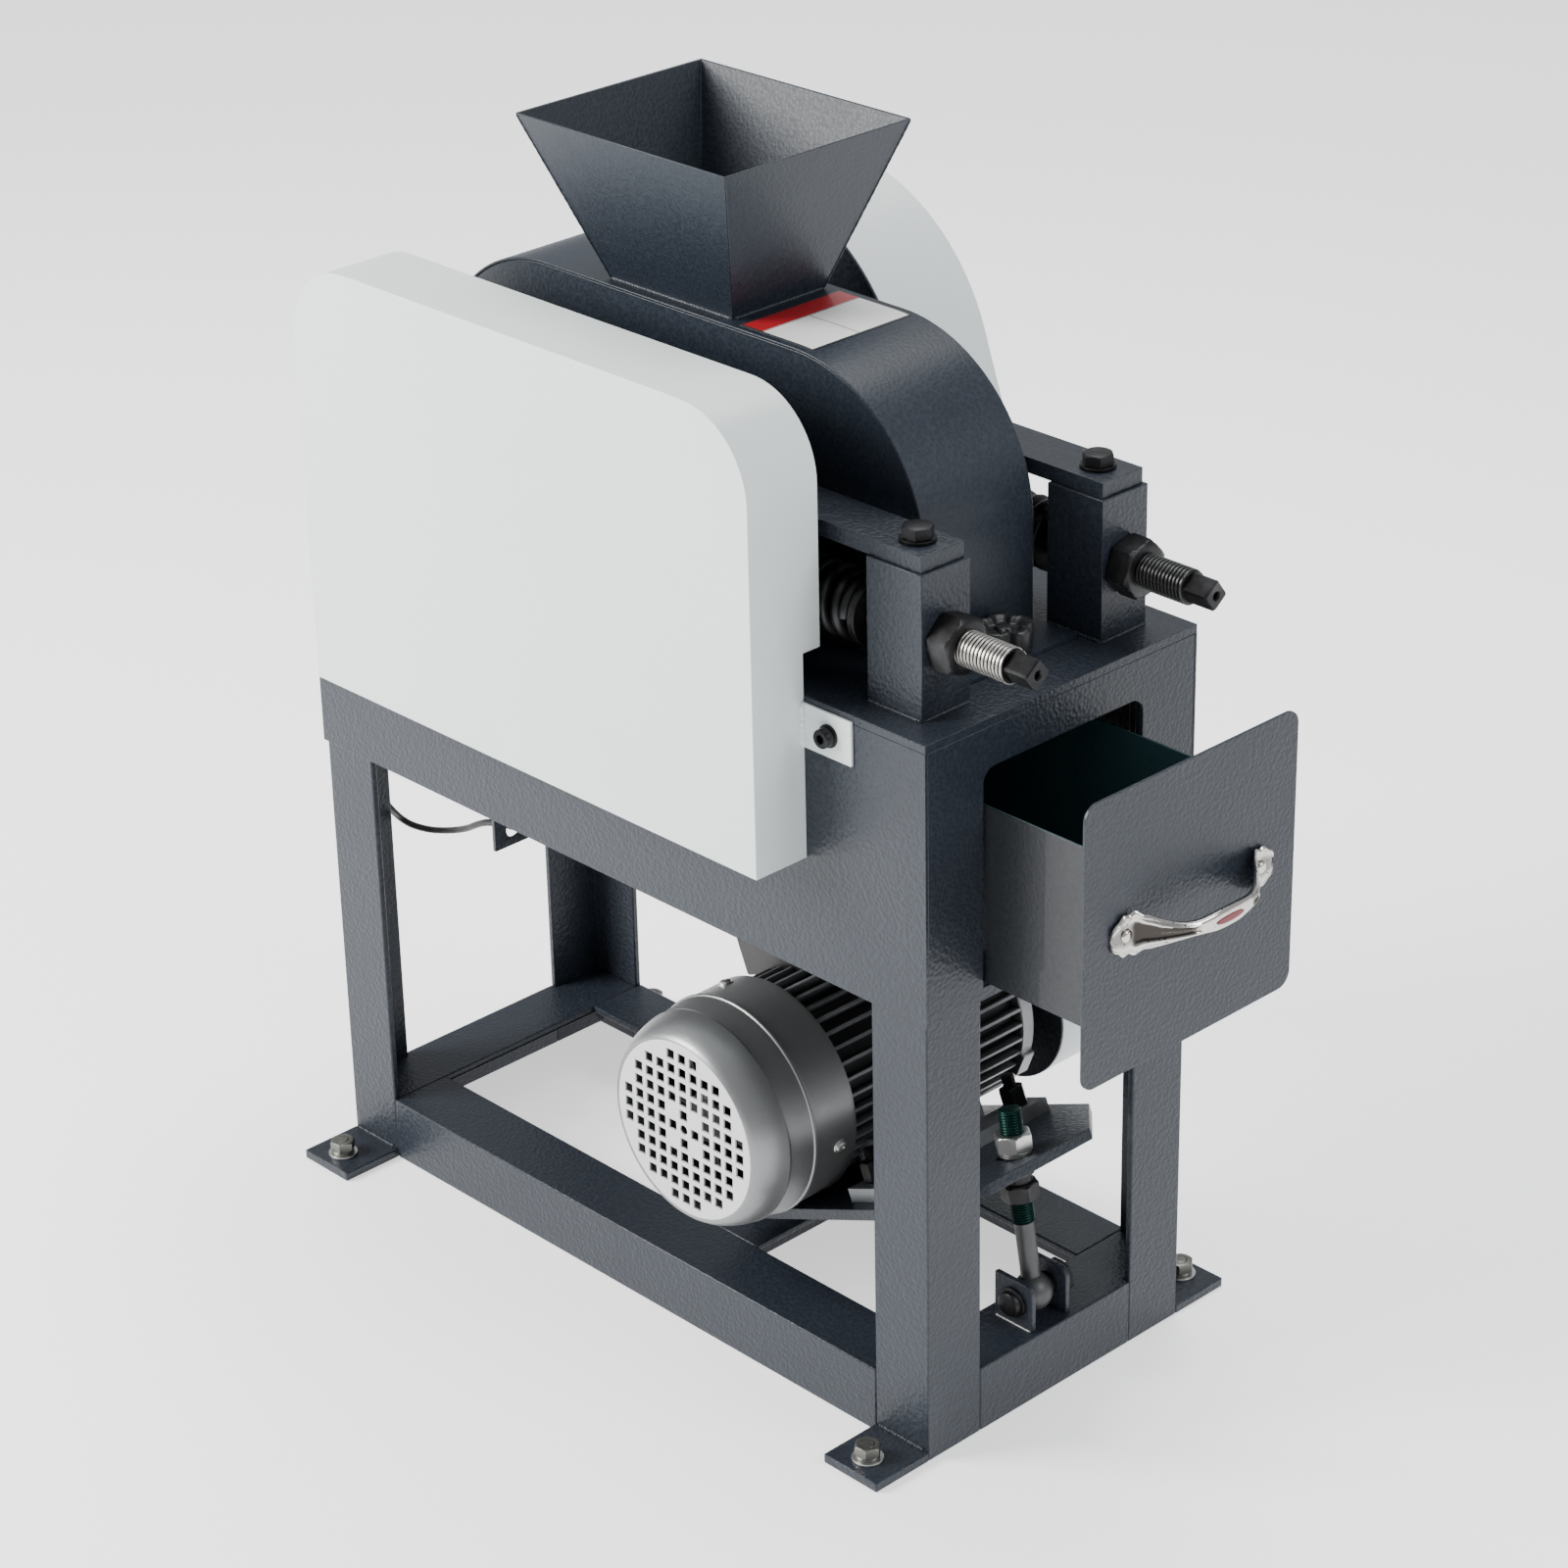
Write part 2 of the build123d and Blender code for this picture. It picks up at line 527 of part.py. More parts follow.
def belt_guard_outline(inset):
    top = (*BELT_GUARD_TOP, BELT_GUARD_TOP_R - inset)
    low = [(x, z, BELT_GUARD_LOW_R - inset) for x, z in BELT_GUARD_LOW]
    return hull([top, *low])


def belt_guard():
    shell = along_y(belt_guard_outline(0), BELT_GUARD_Y)
    return shell - along_y(belt_guard_outline(GUARD_T), (BELT_GUARD_Y[0] - 1, BELT_GUARD_Y[1] - GUARD_T))


def belt_guard_back():
    y = (SKIN_Y, BELT_GUARD_Y[0])
    plate = along_y(belt_guard_outline(0), y)
    plate -= rod_y(FIXED_X, AXIS_Z, (y[0] - 1, y[1] + 1), SHAFT_R + 10)
    plate -= rod_y(MOTOR_X, MOTOR_Z, (y[0] - 1, y[1] + 1), MOTOR_SHAFT_R + 16)
    for x, z in belt_guard_bolts():
        plate -= rod_y(x, z, (y[0] - 1, y[1] + 1), TAB_BOLT_R + FIT)
    return plate


def belt_guard_bolts():
    """Two places where the back plate is bolted to the cabinet's belt-side skin."""
    return ((-180.0, 480.0), (-20.0, 400.0))


def guard_bolts():
    bolts = []
    for x, sx in zip(GEAR_GUARD_X, (-1, 1)):
        bx, bz = tab_bolt_place(x, sx)
        bolts.append(guard_bolt(bx, bz, SKIN_Y + TAB_T, -1))
    for x, z in belt_guard_bolts():
        bolts.append(guard_bolt(x, z, SKIN_Y + SKIN, 1))
    return bolts


def guard_bolt(x, z, seat, sy):
    shank = rod_y(x, z, (sy * HY, sy * seat), TAB_BOLT_R)
    head = Pos(x, sy * seat, z) * Rot(X=-90 * sy) * hexagon(TAB_BOLT_AF, 5.5)
    return shank + head


def skin_holes(sy):
    """Holes through the cabinet's side for the guard bolts on that side."""
    if sy < 0:
        places = [tab_bolt_place(x, sx) for x, sx in zip(GEAR_GUARD_X, (-1, 1))]
    else:
        places = belt_guard_bolts()
    return [rod_y(x, z, (sy * (HY - 1), sy * (SKIN_Y + 1)), TAB_BOLT_R + FIT) for x, z in places]


# ---- drawer
def drawer_box():
    low, high = DRAWER_Z
    x = (DRAWER_FRONT_X - DRAWER_L, DRAWER_FRONT_X)
    w = DRAWER_HALF_W
    body = block(x, (-w, w), (low, high))
    body -= block((x[0] + SHEET, x[1] - SHEET), (SHEET - w, w - SHEET), (low + SHEET, high + 1))
    for sy in (-1, 1):
        body -= rod_x(sy * HANDLE_PITCH / 2, HANDLE_Z, (x[1] - 3, x[1] + 1), 2 + FIT)
    return body


def drawer_front():
    x = (DRAWER_FRONT_X, DRAWER_FRONT_X + FRONT_T)
    plate = along_x(Pos(0, FRONT_Z + FRONT / 2) * RectangleRounded(FRONT, FRONT, FRONT_R), x)
    for sy in (-1, 1):
        plate -= rod_x(sy * HANDLE_PITCH / 2, HANDLE_Z, (x[0] - 1, x[1] + 1), 2 + FIT)
    return plate


def drawer_handle():
    """Bowed pull: a shallow arch between two foot plates that the screws go through."""
    back = DRAWER_FRONT_X + FRONT_T
    half = HANDLE_PITCH / 2
    foot_half = half + 12
    outer = ThreePointArc((back, -foot_half), (back + HANDLE_REACH, 0), (back, foot_half))
    inner = ThreePointArc((back, -half + 12), (back + HANDLE_REACH - 9, 0), (back, half - 12))
    left = Line((back, -foot_half), (back, -half + 12))
    right = Line((back, foot_half), (back, half - 12))
    arch = extrude(make_face([outer, left, inner, right]), amount=14)
    arch = Pos(0, 0, HANDLE_Z - 7) * arch
    for sy in (-1, 1):
        foot = rod_x(sy * half, HANDLE_Z, (back, back + 3), 12)
        room = rod_x(sy * half, HANDLE_Z, (back + 3, back + HANDLE_REACH), 6)
        arch = arch + foot - room
        arch -= rod_x(sy * half, HANDLE_Z, (back - 1, back + 4), 2 + FIT)
    return arch


def handle_screw(sy):
    y, seat = sy * HANDLE_PITCH / 2, DRAWER_FRONT_X + FRONT_T + 3
    back = DRAWER_FRONT_X - SHEET
    shank = rod_x(y, HANDLE_Z, (back - 4, seat), 2)
    head = rod_x(y, HANDLE_Z, (seat, seat + 2.5), 4.5)
    nut = Pos(back - 3, y, HANDLE_Z) * Rot(Y=90) * hexagon(7, 3)
    return shank + head + nut


# ---- motor, in the plate's own frame: X up the slope, Z square to the plate
def motor_plate():
    start, shoulder, end = PLATE_U
    neck = [(0, NECK_HALF), (start, NECK_HALF)]
    side = [(start, PLATE_HALF), (shoulder, PLATE_HALF), (end, TONGUE_HALF)]
    upper = neck + side
    points = upper + [(u, -y) for u, y in reversed(upper)]
    plate = Pos(0, 0, PLATE_LOW) * extrude(make_face(Polyline(*points, close=True)), amount=PLATE_T)
    plate += rod_y(0, 0, (-BARREL_HALF, BARREL_HALF), BARREL_R)
    plate -= rod_y(0, 0, (-BARREL_HALF - 1, BARREL_HALF + 1), HINGE_PIN_R + RUN)
    plate -= Pos(EYE_U, 0, 0) * extrude(SlotOverall(SLOT_L, SLOT_W), amount=3 * PLATE_T)
    for u, y in foot_bolt_places():
        plate -= rod_z(u, y, (0, 3 * PLATE_T), MOTOR_BOLT_R + FIT)
    return ON_PLATE * plate


def foot_bolt_places():
    return [(MOTOR_U + su * FOOT_BOLT_U, sy * FOOT_BOLT_Y) for su, sy in corners()]


def motor_foot_bolt(u, y):
    pad = PLATE_TOP + FOOT_PAD_T
    stud = rod_z(u, y, (PLATE_LOW, pad + 24), MOTOR_BOLT_R)
    head = Pos(u, y, PLATE_LOW - 7) * hexagon(MOTOR_NUT_AF, 7)
    nut = Pos(u, y, pad) * hexagon(MOTOR_NUT_AF, 16)
    return ON_PLATE * (stud + head + nut)


def motor_foot(su):
    """Foot pad down one side of the housing, with the web that carries it."""
    pad = block((MOTOR_U + su * FOOT_U[0], MOTOR_U + su * FOOT_U[1]), (-FOOT_HALF_L, FOOT_HALF_L),
                (PLATE_TOP, PLATE_TOP + FOOT_PAD_T))
    for u, y in foot_bolt_places():
        pad -= rod_z(u, y, (PLATE_TOP - 1, PLATE_TOP + FOOT_PAD_T + 1), MOTOR_BOLT_R + FIT)
    web = block((MOTOR_U + su * 40, MOTOR_U + su * FOOT_U[0]), (-50, 50), (PLATE_TOP, PLATE_TOP + 32))
    return pad + web


def terminal_seat():
    """Room for the terminal box: everything over the flat it is bolted to."""
    low = MOTOR_W + BOX_RISE
    u = (MOTOR_U - BOX_HALF_U - 1, MOTOR_U + BOX_HALF_U + 1)
    return block(u, (BOX_Y[0] - 1, BOX_Y[1] + 1), (low, low + 20))


def motor_housing():
    body = rod_y(MOTOR_U, MOTOR_W, MOTOR_Y, MOTOR_R)
    mid_y, long_y = sum(MOTOR_Y) / 2, MOTOR_Y[1] - MOTOR_Y[0]
    fin = Pos(MOTOR_U, mid_y, MOTOR_W) * Box(2 * FIN_R, long_y, 2.4)
    for i in range(FIN_COUNT // 2):
        body += fin.rotate(Axis((MOTOR_U, 0, MOTOR_W), (0, 1, 0)), 360 * i / FIN_COUNT)
    body += motor_foot(-1) + motor_foot(1)
    seat = (MOTOR_W + 50, MOTOR_W + BOX_RISE)
    body += block((MOTOR_U - 35, MOTOR_U + 35), (BOX_Y[0] + 5, BOX_Y[1] - 5), seat)
    body -= terminal_seat()
    lip = (COVER_Y[1] - 12, MOTOR_Y[0])
    ring = rod_y(MOTOR_U, MOTOR_W, lip, MOTOR_R - 2)
    for i in range(4):
        boss = Pos(MOTOR_U + 68.2, sum(lip) / 2, MOTOR_W) * Box(22, lip[1] - lip[0], 12)
        ring += boss.rotate(Axis((MOTOR_U, 0, MOTOR_W), (0, 1, 0)), 45 + 90 * i)
    body += ring
    bore = (MOTOR_Y[0] + 8, MOTOR_Y[1] + 1)
    body -= rod_y(MOTOR_U, MOTOR_W, bore, ROTOR_R + 3)
    body -= rod_y(MOTOR_U, MOTOR_W, (lip[0] - 1, MOTOR_Y[0] + 9), MOTOR_SHAFT_R + RUN)
    return ON_PLATE * body


def drive_end_shield():
    y = (MOTOR_Y[1], MOTOR_Y[1] + SHIELD_T)
    shield = rod_y(MOTOR_U, MOTOR_W, y, FIN_R)
    shield += rod_y(MOTOR_U, MOTOR_W, (y[1], y[1] + SHIELD_BOSS), 38)
    for i in range(4):
        ear = Pos(MOTOR_U + 68, sum(y) / 2, MOTOR_W) * Box(18, 12, 20)
        shield += ear.rotate(Axis((MOTOR_U, 0, MOTOR_W), (0, 1, 0)), 45 + 90 * i)
    bore = (y[0] - 1, y[1] + SHIELD_BOSS + 1)
    return ON_PLATE * (shield - rod_y(MOTOR_U, MOTOR_W, bore, MOTOR_SHAFT_R + RUN))


def cover_profile(inset):
    """Radius against depth: a round shoulder, then a slow flare to the open lip."""
    front, lip = COVER_Y
    face_r, shoulder_r, waist_r = COVER_R - 17, COVER_R - 9, COVER_R - 3
    stations = [(front + inset, face_r - inset), (front + 5, shoulder_r - inset),
                (front + 22, waist_r - inset), (front + 48, COVER_R - inset)]
    curve = Spline(*[(r, y) for y, r in stations])
    end = Line((COVER_R - inset, front + 48), (COVER_R - inset, lip + (inset > 0)))
    back = Line((COVER_R - inset, lip + (inset > 0)), (0, lip + (inset > 0)))
    axis = Line((0, lip + (inset > 0)), (0, front + inset))
    face = Line((0, front + inset), (face_r - inset, front + inset))
    return make_face([curve, end, back, axis, face])


def grille_hole(x, z):
    y = (COVER_Y[0] - 1, COVER_Y[0] + 3)
    return block((MOTOR_X + x - 3.4, MOTOR_X + x + 3.4), y, (MOTOR_Z + z - 3.4, MOTOR_Z + z + 3.4))


def grille_places():
    """Square holes on a grid, out to the face's rim; the middle and its diagonals stay blank."""
    pitch, reach = 11.0, 57
    for i in range(-5, 6):
        for j in range(-5, 6):
            if (i * i + j * j) ** 0.5 * pitch < reach and i * i + j * j not in (0, 2):
                yield i * pitch, j * pitch


def fan_cover():
    shell = revolve(cover_profile(0), Axis.Y) - revolve(cover_profile(1.5), Axis.Y)
    shell = Pos(MOTOR_X, 0, MOTOR_Z) * shell
    for x, z in grille_places():
        shell -= grille_hole(x, z)
    return shell - rod_y(MOTOR_X, MOTOR_Z, (COVER_Y[0] - 1, COVER_Y[0] + 3), 4)


def motor_shaft():
    shaft = rod_y(MOTOR_X, MOTOR_Z, (COVER_Y[0] + 25, DRIVE_Y + PULLEY_W / 2), MOTOR_SHAFT_R)
    return shaft + rod_y(MOTOR_X, MOTOR_Z, (MOTOR_Y[0] + 20, MOTOR_Y[1] - 15), ROTOR_R)


def terminal_box():
    low = MOTOR_W + BOX_RISE
    u = (MOTOR_U - BOX_HALF_U, MOTOR_U + BOX_HALF_U)
    body = block(u, BOX_Y, (low, low + BOX_H))
    body += rod_x(0, GLAND_W, (u[0] - GLAND_L, u[0]), GLAND_R)
    return ON_PLATE * body


# ---- hinge and tensioner
def hinge_cross_member():
    """Angle across the stand, with the two lugs that hold the hinge pin."""
    top, under, inner = ANGLE, ANGLE - ANGLE_T, HY - ANGLE
    member = block((CROSS_X, CROSS_X + ANGLE), (-inner, inner), (under, top))
    web_x, web_y = (CROSS_X, CROSS_X + ANGLE_T), HY - ANGLE_T
    member += block(web_x, (-web_y, web_y), (0, under))
    for sy in (-1, 1):
        y = (sy * (BARREL_HALF + GAP), sy * (BARREL_HALF + GAP + LUG_PLATE_T))
        member += block((HINGE_X - BARREL_R, HINGE_X + BARREL_R), y, (top, HINGE_Z))
        member += rod_y(HINGE_X, HINGE_Z, y, BARREL_R)
        member -= rod_y(HINGE_X, HINGE_Z, (y[0] - sy, y[1] + sy), HINGE_PIN_R + FIT)
    return member


def hinge_pin():
    end = BARREL_HALF + GAP + LUG_PLATE_T
    pin = rod_y(HINGE_X, HINGE_Z, (-end, end + 4), HINGE_PIN_R)
    return pin + rod_y(HINGE_X, HINGE_Z, (-end - 4, -end), HINGE_PIN_R + 3)


def eye_pin():
    end = LUG_IN + LUG_T
    pin = rod_y(EYE_X, EYE_Z, (-end, end + 14), EYE_BORE_R)
    pin += rod_y(EYE_X, EYE_Z, (-end - 7, -end), 11)
    washer = rod_y(EYE_X, EYE_Z, (end, end + 2), 12)
    nut = Pos(EYE_X, end + 2, EYE_Z) * Rot(X=-90) * hexagon(24, 8)
    return pin + washer + nut


def eye_lug(sy):
    """One of the two lugs welded on the end rail, rounded at its outer top corner."""
    y = (sy * LUG_IN, sy * (LUG_IN + LUG_T))
    lug = block(LUG_X, y, (ANGLE, ANGLE + LUG_H))
    corner = lug.edges().filter_by(Axis.Y).group_by(Axis.Z)[-1].sort_by(Axis.X)[-1]
    lug = fillet(corner, 8)
    return lug - rod_y(EYE_X, EYE_Z, (y[0] - sy, y[1] + sy), EYE_BORE_R + FIT)


def eye_bolt():
    eye = Sphere(EYE_R) & Box(2 * EYE_R, 2 * EYE_HALF, 2 * EYE_R)
    bolt = eye + rod_z(0, 0, (0, EYE_THREAD_FROM), EYE_SHANK_R)
    bolt += rod_z(0, 0, (EYE_THREAD_FROM, EYE_ROD_L), EYE_ROD_R)
    return ON_EYE * (bolt - rod_y(0, 0, (-EYE_R, EYE_R), EYE_BORE_R + RUN))


def eye_bolt_nut(side, collar):
    """Conical washer, collar and hex nut on one side of the plate, along the bolt."""
    cone, rise = 1.6, EYE_NUT_RISE
    stack = Pos(0, 0, rise + cone / 2) * Cone(8.7, 12, cone)
    stack += rod_z(0, 0, (rise + cone, rise + cone + collar), 12)
    stack += Pos(0, 0, rise + cone + collar) * hexagon(24, 13)
    stack -= rod_z(0, 0, (0, 40), EYE_ROD_R + RUN)
    turned = stack if side > 0 else Rot(X=180) * stack
    return ON_EYE * Pos(0, 0, EYE_SPAN) * turned


# ---- motor lead
def lead_route():
    """Straight out of the box's gland, through the skin's tab, out of the open back
    under the cabinet, and up the outside to the switch box."""
    gland = [(ON_PLATE * Pos(MOTOR_U - BOX_HALF_U - GLAND_L - d, 0, GLAND_W)).position for d in (0, 20)]
    free = [
        (-31, -11, 256), (-57, -34, 272), (-81, -64, 293), (-100, -91, 313), (-120, -106, 322),
        (-145, -109, 318), (-174, -97, 301), (-205, -81, 281), (-238, -71, 264), (-270, -67, 252),
        (-300, -66, 248), (-322, -68, 261), (-331, -71, 286), (LEAD_END_X, LEAD_END_Y, 318),
    ]
    end = Vector(LEAD_END_X, LEAD_END_Y, SWITCH_Z[0] - GLAND_L)
    return [*gland, *(Vector(*p) for p in free), end]


def bend_radii(points):
    """Largest arc at each corner: 0.45 of the shorter run over the tangent of half the turn."""
    radii = []
    for a, b, c in zip(points, points[1:], points[2:]):
        before, after = b - a, c - b
        turn = before.get_angle(after)
        run = min(before.length, after.length)
        radii.append(0.45 * run / tan(radians(turn / 2)))
    return radii


def motor_lead():
    points = lead_route()
    radii = bend_radii(points)
    path = FilletPolyline(*points, radius=radii)
    tube = sweep(Plane(path @ 0, z_dir=path % 0) * Circle(LEAD_R), path=path)
    ideal = pi * LEAD_R ** 2 * path.length
    print("lead length", round(path.length, 1), "volume ratio", round(tube.volume / ideal, 4))
    print("lead radii", [round(r) for r in radii])
    return tube


def switch_box():
    body = block(SWITCH_X, SWITCH_Y, SWITCH_Z)
    gland = rod_z(LEAD_END_X, LEAD_END_Y, (SWITCH_Z[0] - GLAND_L, SWITCH_Z[0]), GLAND_R)
    return body + gland


# ---- write every node
def stand_nodes():
    node("legs", group([leg(sx, sy) for sx, sy in corners()]))
    node("base_rails", group([side_rail(-1), side_rail(1), end_rail(-1), end_rail(1)]))
    node("foot_plates", group([foot_plate(sx, sy) for sx, sy in corners()]))
    node("foot_bolts", group([foot_bolt(sx, sy) for sx, sy in corners()]))
    for name, sy in (("near", -1), ("far", 1)):
        side = cabinet_side(sy)
        for hole in skin_holes(sy):
            side -= hole
        node(f"cabinet_side_{name}", side)
    node("cabinet_front", cabinet_front())
    node("cabinet_rear", cabinet_rear())
    node("table_plate", table_plate())
    node("drawer_runners", group([drawer_runner(-1), drawer_runner(1)]))
    node("posts", group([post(sx, sy) for sx, sy in corners()]))
    node("top_bars", group([top_bar(-1), top_bar(1)]))
    node("bar_bolts", group([bar_bolt(sx, sy) for sx, sy in corners()]))


def roll_nodes():
    half = BLOCK_L / 2
    node("fixed_bearing_blocks", group([bearing_block(FIXED_X, half, half, s, 0) for s in (-1, 1)]))
    moving = [bearing_block(MOVING_X, *MOVING_BLOCK, s, GAP) for s in (-1, 1)]
    node("moving_bearing_blocks", group(moving))
    node("fixed_bearings", group([bearing(FIXED_X, s) for s in (-1, 1)]))
    node("moving_bearings", group([bearing(MOVING_X, s) for s in (-1, 1)]))
    gear_end = GEAR_Y - GEAR_W / 2 - 4
    shaft_ends = {"fixed": DRIVE_Y + PULLEY_W / 2 + 3, "moving": LINE_Y + POST_W / 2 + 2}
    for name, x in (("fixed", FIXED_X), ("moving", MOVING_X)):
        node(f"{name}_roll", on_shaft(x, (-ROLL_W / 2, ROLL_W / 2), ROLL_R))
        node(f"{name}_shaft", rod_y(x, AXIS_Z, (gear_end, shaft_ends[name]), SHAFT_R))
        node(f"{name}_gear", gear(x))
    node("big_pulley", big_pulley())
    node("drive_belts", group([belt(y) for y in belt_planes()]))


def adjuster_nodes():
    for name, sy in (("near", -1), ("far", 1)):
        node(f"spring_{name}", spring(sy))
        node(f"spring_seat_{name}", spring_seat(sy))
        node(f"adjusting_screw_{name}", adjusting_screw(sy))
    node("lock_nuts", group([lock_nut(-1), lock_nut(1)]))


def casing_nodes():
    node("casing_wrapper", casing_wrapper())
    node("casing_sides", group([casing_side(-1), casing_side(1)]))
    node("casing_base", casing_base())
    node("hopper", hopper())
    node("star_knob", star_knob())


def guard_nodes():
    node("gear_guard", gear_guard())
    node("belt_guard", belt_guard())
    node("belt_guard_back", belt_guard_back())
    node("guard_bolts", group(guard_bolts()))


def drawer_nodes():
    node("drawer_box", drawer_box())
    node("drawer_front", drawer_front())
    node("drawer_handle", drawer_handle())
    node("handle_screws", group([handle_screw(-1), handle_screw(1)]))


def motor_nodes():
    node("motor_plate", motor_plate())
    node("motor_housing", motor_housing())
    node("drive_end_shield", drive_end_shield())
    node("fan_cover", fan_cover())
    node("motor_shaft", motor_shaft())
    node("motor_pulley", pulley(MOTOR_X, MOTOR_Z, SMALL_R, MOTOR_SHAFT_R + FIT))
    node("terminal_box", terminal_box())
    node("motor_foot_bolts", group([motor_foot_bolt(u, y) for u, y in foot_bolt_places()]))
    node("hinge_cross_member", hinge_cross_member())
    node("pivot_pins", group([hinge_pin(), eye_pin()]))
    node("eye_bracket", group([eye_lug(-1), eye_lug(1)]))
    node("eye_bolt", eye_bolt())
    node("eye_bolt_nuts", group([eye_bolt_nut(1, 2.4), eye_bolt_nut(-1, 8)]))
    node("motor_lead", motor_lead())
    node("switch_box", switch_box())


stand_nodes()
roll_nodes()
adjuster_nodes()
casing_nodes()
guard_nodes()
drawer_nodes()
motor_nodes()
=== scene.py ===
"""Bench double-roll mill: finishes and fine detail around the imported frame.
Sizes are metres in the row's frame. MM turns a size in millimetres into metres."""
import math
import bpy
import bmesh
import numpy as np
from mathutils import Matrix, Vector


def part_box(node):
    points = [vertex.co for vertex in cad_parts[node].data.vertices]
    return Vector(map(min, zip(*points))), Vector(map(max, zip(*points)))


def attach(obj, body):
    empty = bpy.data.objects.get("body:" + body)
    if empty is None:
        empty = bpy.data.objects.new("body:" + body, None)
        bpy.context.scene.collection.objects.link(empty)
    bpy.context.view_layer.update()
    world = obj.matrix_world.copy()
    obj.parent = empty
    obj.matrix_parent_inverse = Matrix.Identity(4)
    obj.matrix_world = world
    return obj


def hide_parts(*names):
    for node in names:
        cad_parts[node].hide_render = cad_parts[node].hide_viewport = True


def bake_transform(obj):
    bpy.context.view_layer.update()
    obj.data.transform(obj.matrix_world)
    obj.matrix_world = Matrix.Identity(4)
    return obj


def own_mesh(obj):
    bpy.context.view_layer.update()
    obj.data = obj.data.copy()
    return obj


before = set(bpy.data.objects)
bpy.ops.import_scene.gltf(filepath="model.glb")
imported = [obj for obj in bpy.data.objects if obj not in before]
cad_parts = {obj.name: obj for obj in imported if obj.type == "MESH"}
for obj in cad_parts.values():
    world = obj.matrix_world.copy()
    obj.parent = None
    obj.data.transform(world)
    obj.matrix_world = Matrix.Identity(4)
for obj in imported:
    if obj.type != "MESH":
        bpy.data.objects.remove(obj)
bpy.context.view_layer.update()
MM = 0.001


# ---- Studio: a pale floor, three large soft lamps, a sky of even light and the camera.
# The camera stands off the drawer corner, a little over twice the machine's height away.
def flat_mesh(name, corners):
    """A mesh of one face whose corners are given in order."""
    mesh = bpy.data.meshes.new(name)
    mesh.from_pydata([tuple(c) for c in corners], [], [tuple(range(len(corners)))])
    return mesh


def into_scene(name, mesh):
    thing = bpy.data.objects.new(name, mesh)
    bpy.context.scene.collection.objects.link(thing)
    return thing


def aim(thing, place, right, up, ahead):
    """Stands a lamp or camera at place: its X, Y and -Z follow right, up and ahead."""
    rows = [(right[i], up[i], -ahead[i], place[i]) for i in range(3)]
    thing.matrix_world = Matrix([*rows, (0, 0, 0, 1)])


def aim_at(thing, place, target):
    """Turns a lamp at place to face target, with its top edge level."""
    place, ahead = np.array(place, float), np.array(target, float) - np.array(place, float)
    ahead /= np.linalg.norm(ahead)
    right = np.cross(ahead, (0, 0, 1))
    right /= np.linalg.norm(right)
    aim(thing, place, right, np.cross(right, ahead), ahead)


def soft_lamp(name, place, target, size, watts, tint=(1, 1, 1)):
    lamp = bpy.data.lights.new(name, "AREA")
    lamp.shape, lamp.size, lamp.energy, lamp.color = "SQUARE", size, watts, tint
    aim_at(into_scene(name, lamp), place, target)


camera = into_scene("camera", bpy.data.cameras.new("camera"))
camera.data.lens, camera.data.sensor_width = 96.70, 36.0
aim(camera, (1.9436, -1.7906, 1.6634), (0.6934, 0.7203, -0.0199),
    (-0.3069, 0.3201, 0.8963), (-0.6520, 0.6154, -0.4430))
bpy.context.scene.camera = camera

soft_lamp("key", (-1.7, -2.3, 1.9), (0, 0, 0.45), 1.5, 195, (1.0, 0.99, 0.97))
soft_lamp("side", (2.9, 0.9, 2.2), (0, 0, 0.5), 1.2, 44, (0.93, 0.97, 1.0))
soft_lamp("top", (-0.4, 0.8, 2.9), (0, 0, 0.5), 1.6, 60)
sky = bpy.data.worlds.new("sky")
sky.use_nodes = True
sky.node_tree.nodes["Background"].inputs["Color"].default_value = (0.93, 0.95, 0.97, 1)
sky.node_tree.nodes["Background"].inputs["Strength"].default_value = 0.58
bpy.context.scene.world = sky

floor = into_scene("floor", flat_mesh("floor",
                                      [(-9, -9, -2e-4), (9, -9, -2e-4), (9, 9, -2e-4), (-9, 9, -2e-4)]))
white_paper = bpy.data.materials.new("white_paper")
white_paper.use_nodes = True
for socket, value in (("Base Color", (0.9, 0.9, 0.9, 1)), ("Roughness", 0.9),
                      ("Emission Color", (1, 1, 1, 1)),
                      ("Emission Strength", 0.92)):
    white_paper.node_tree.nodes["Principled BSDF"].inputs[socket].default_value = value
floor.data.materials.append(white_paper)


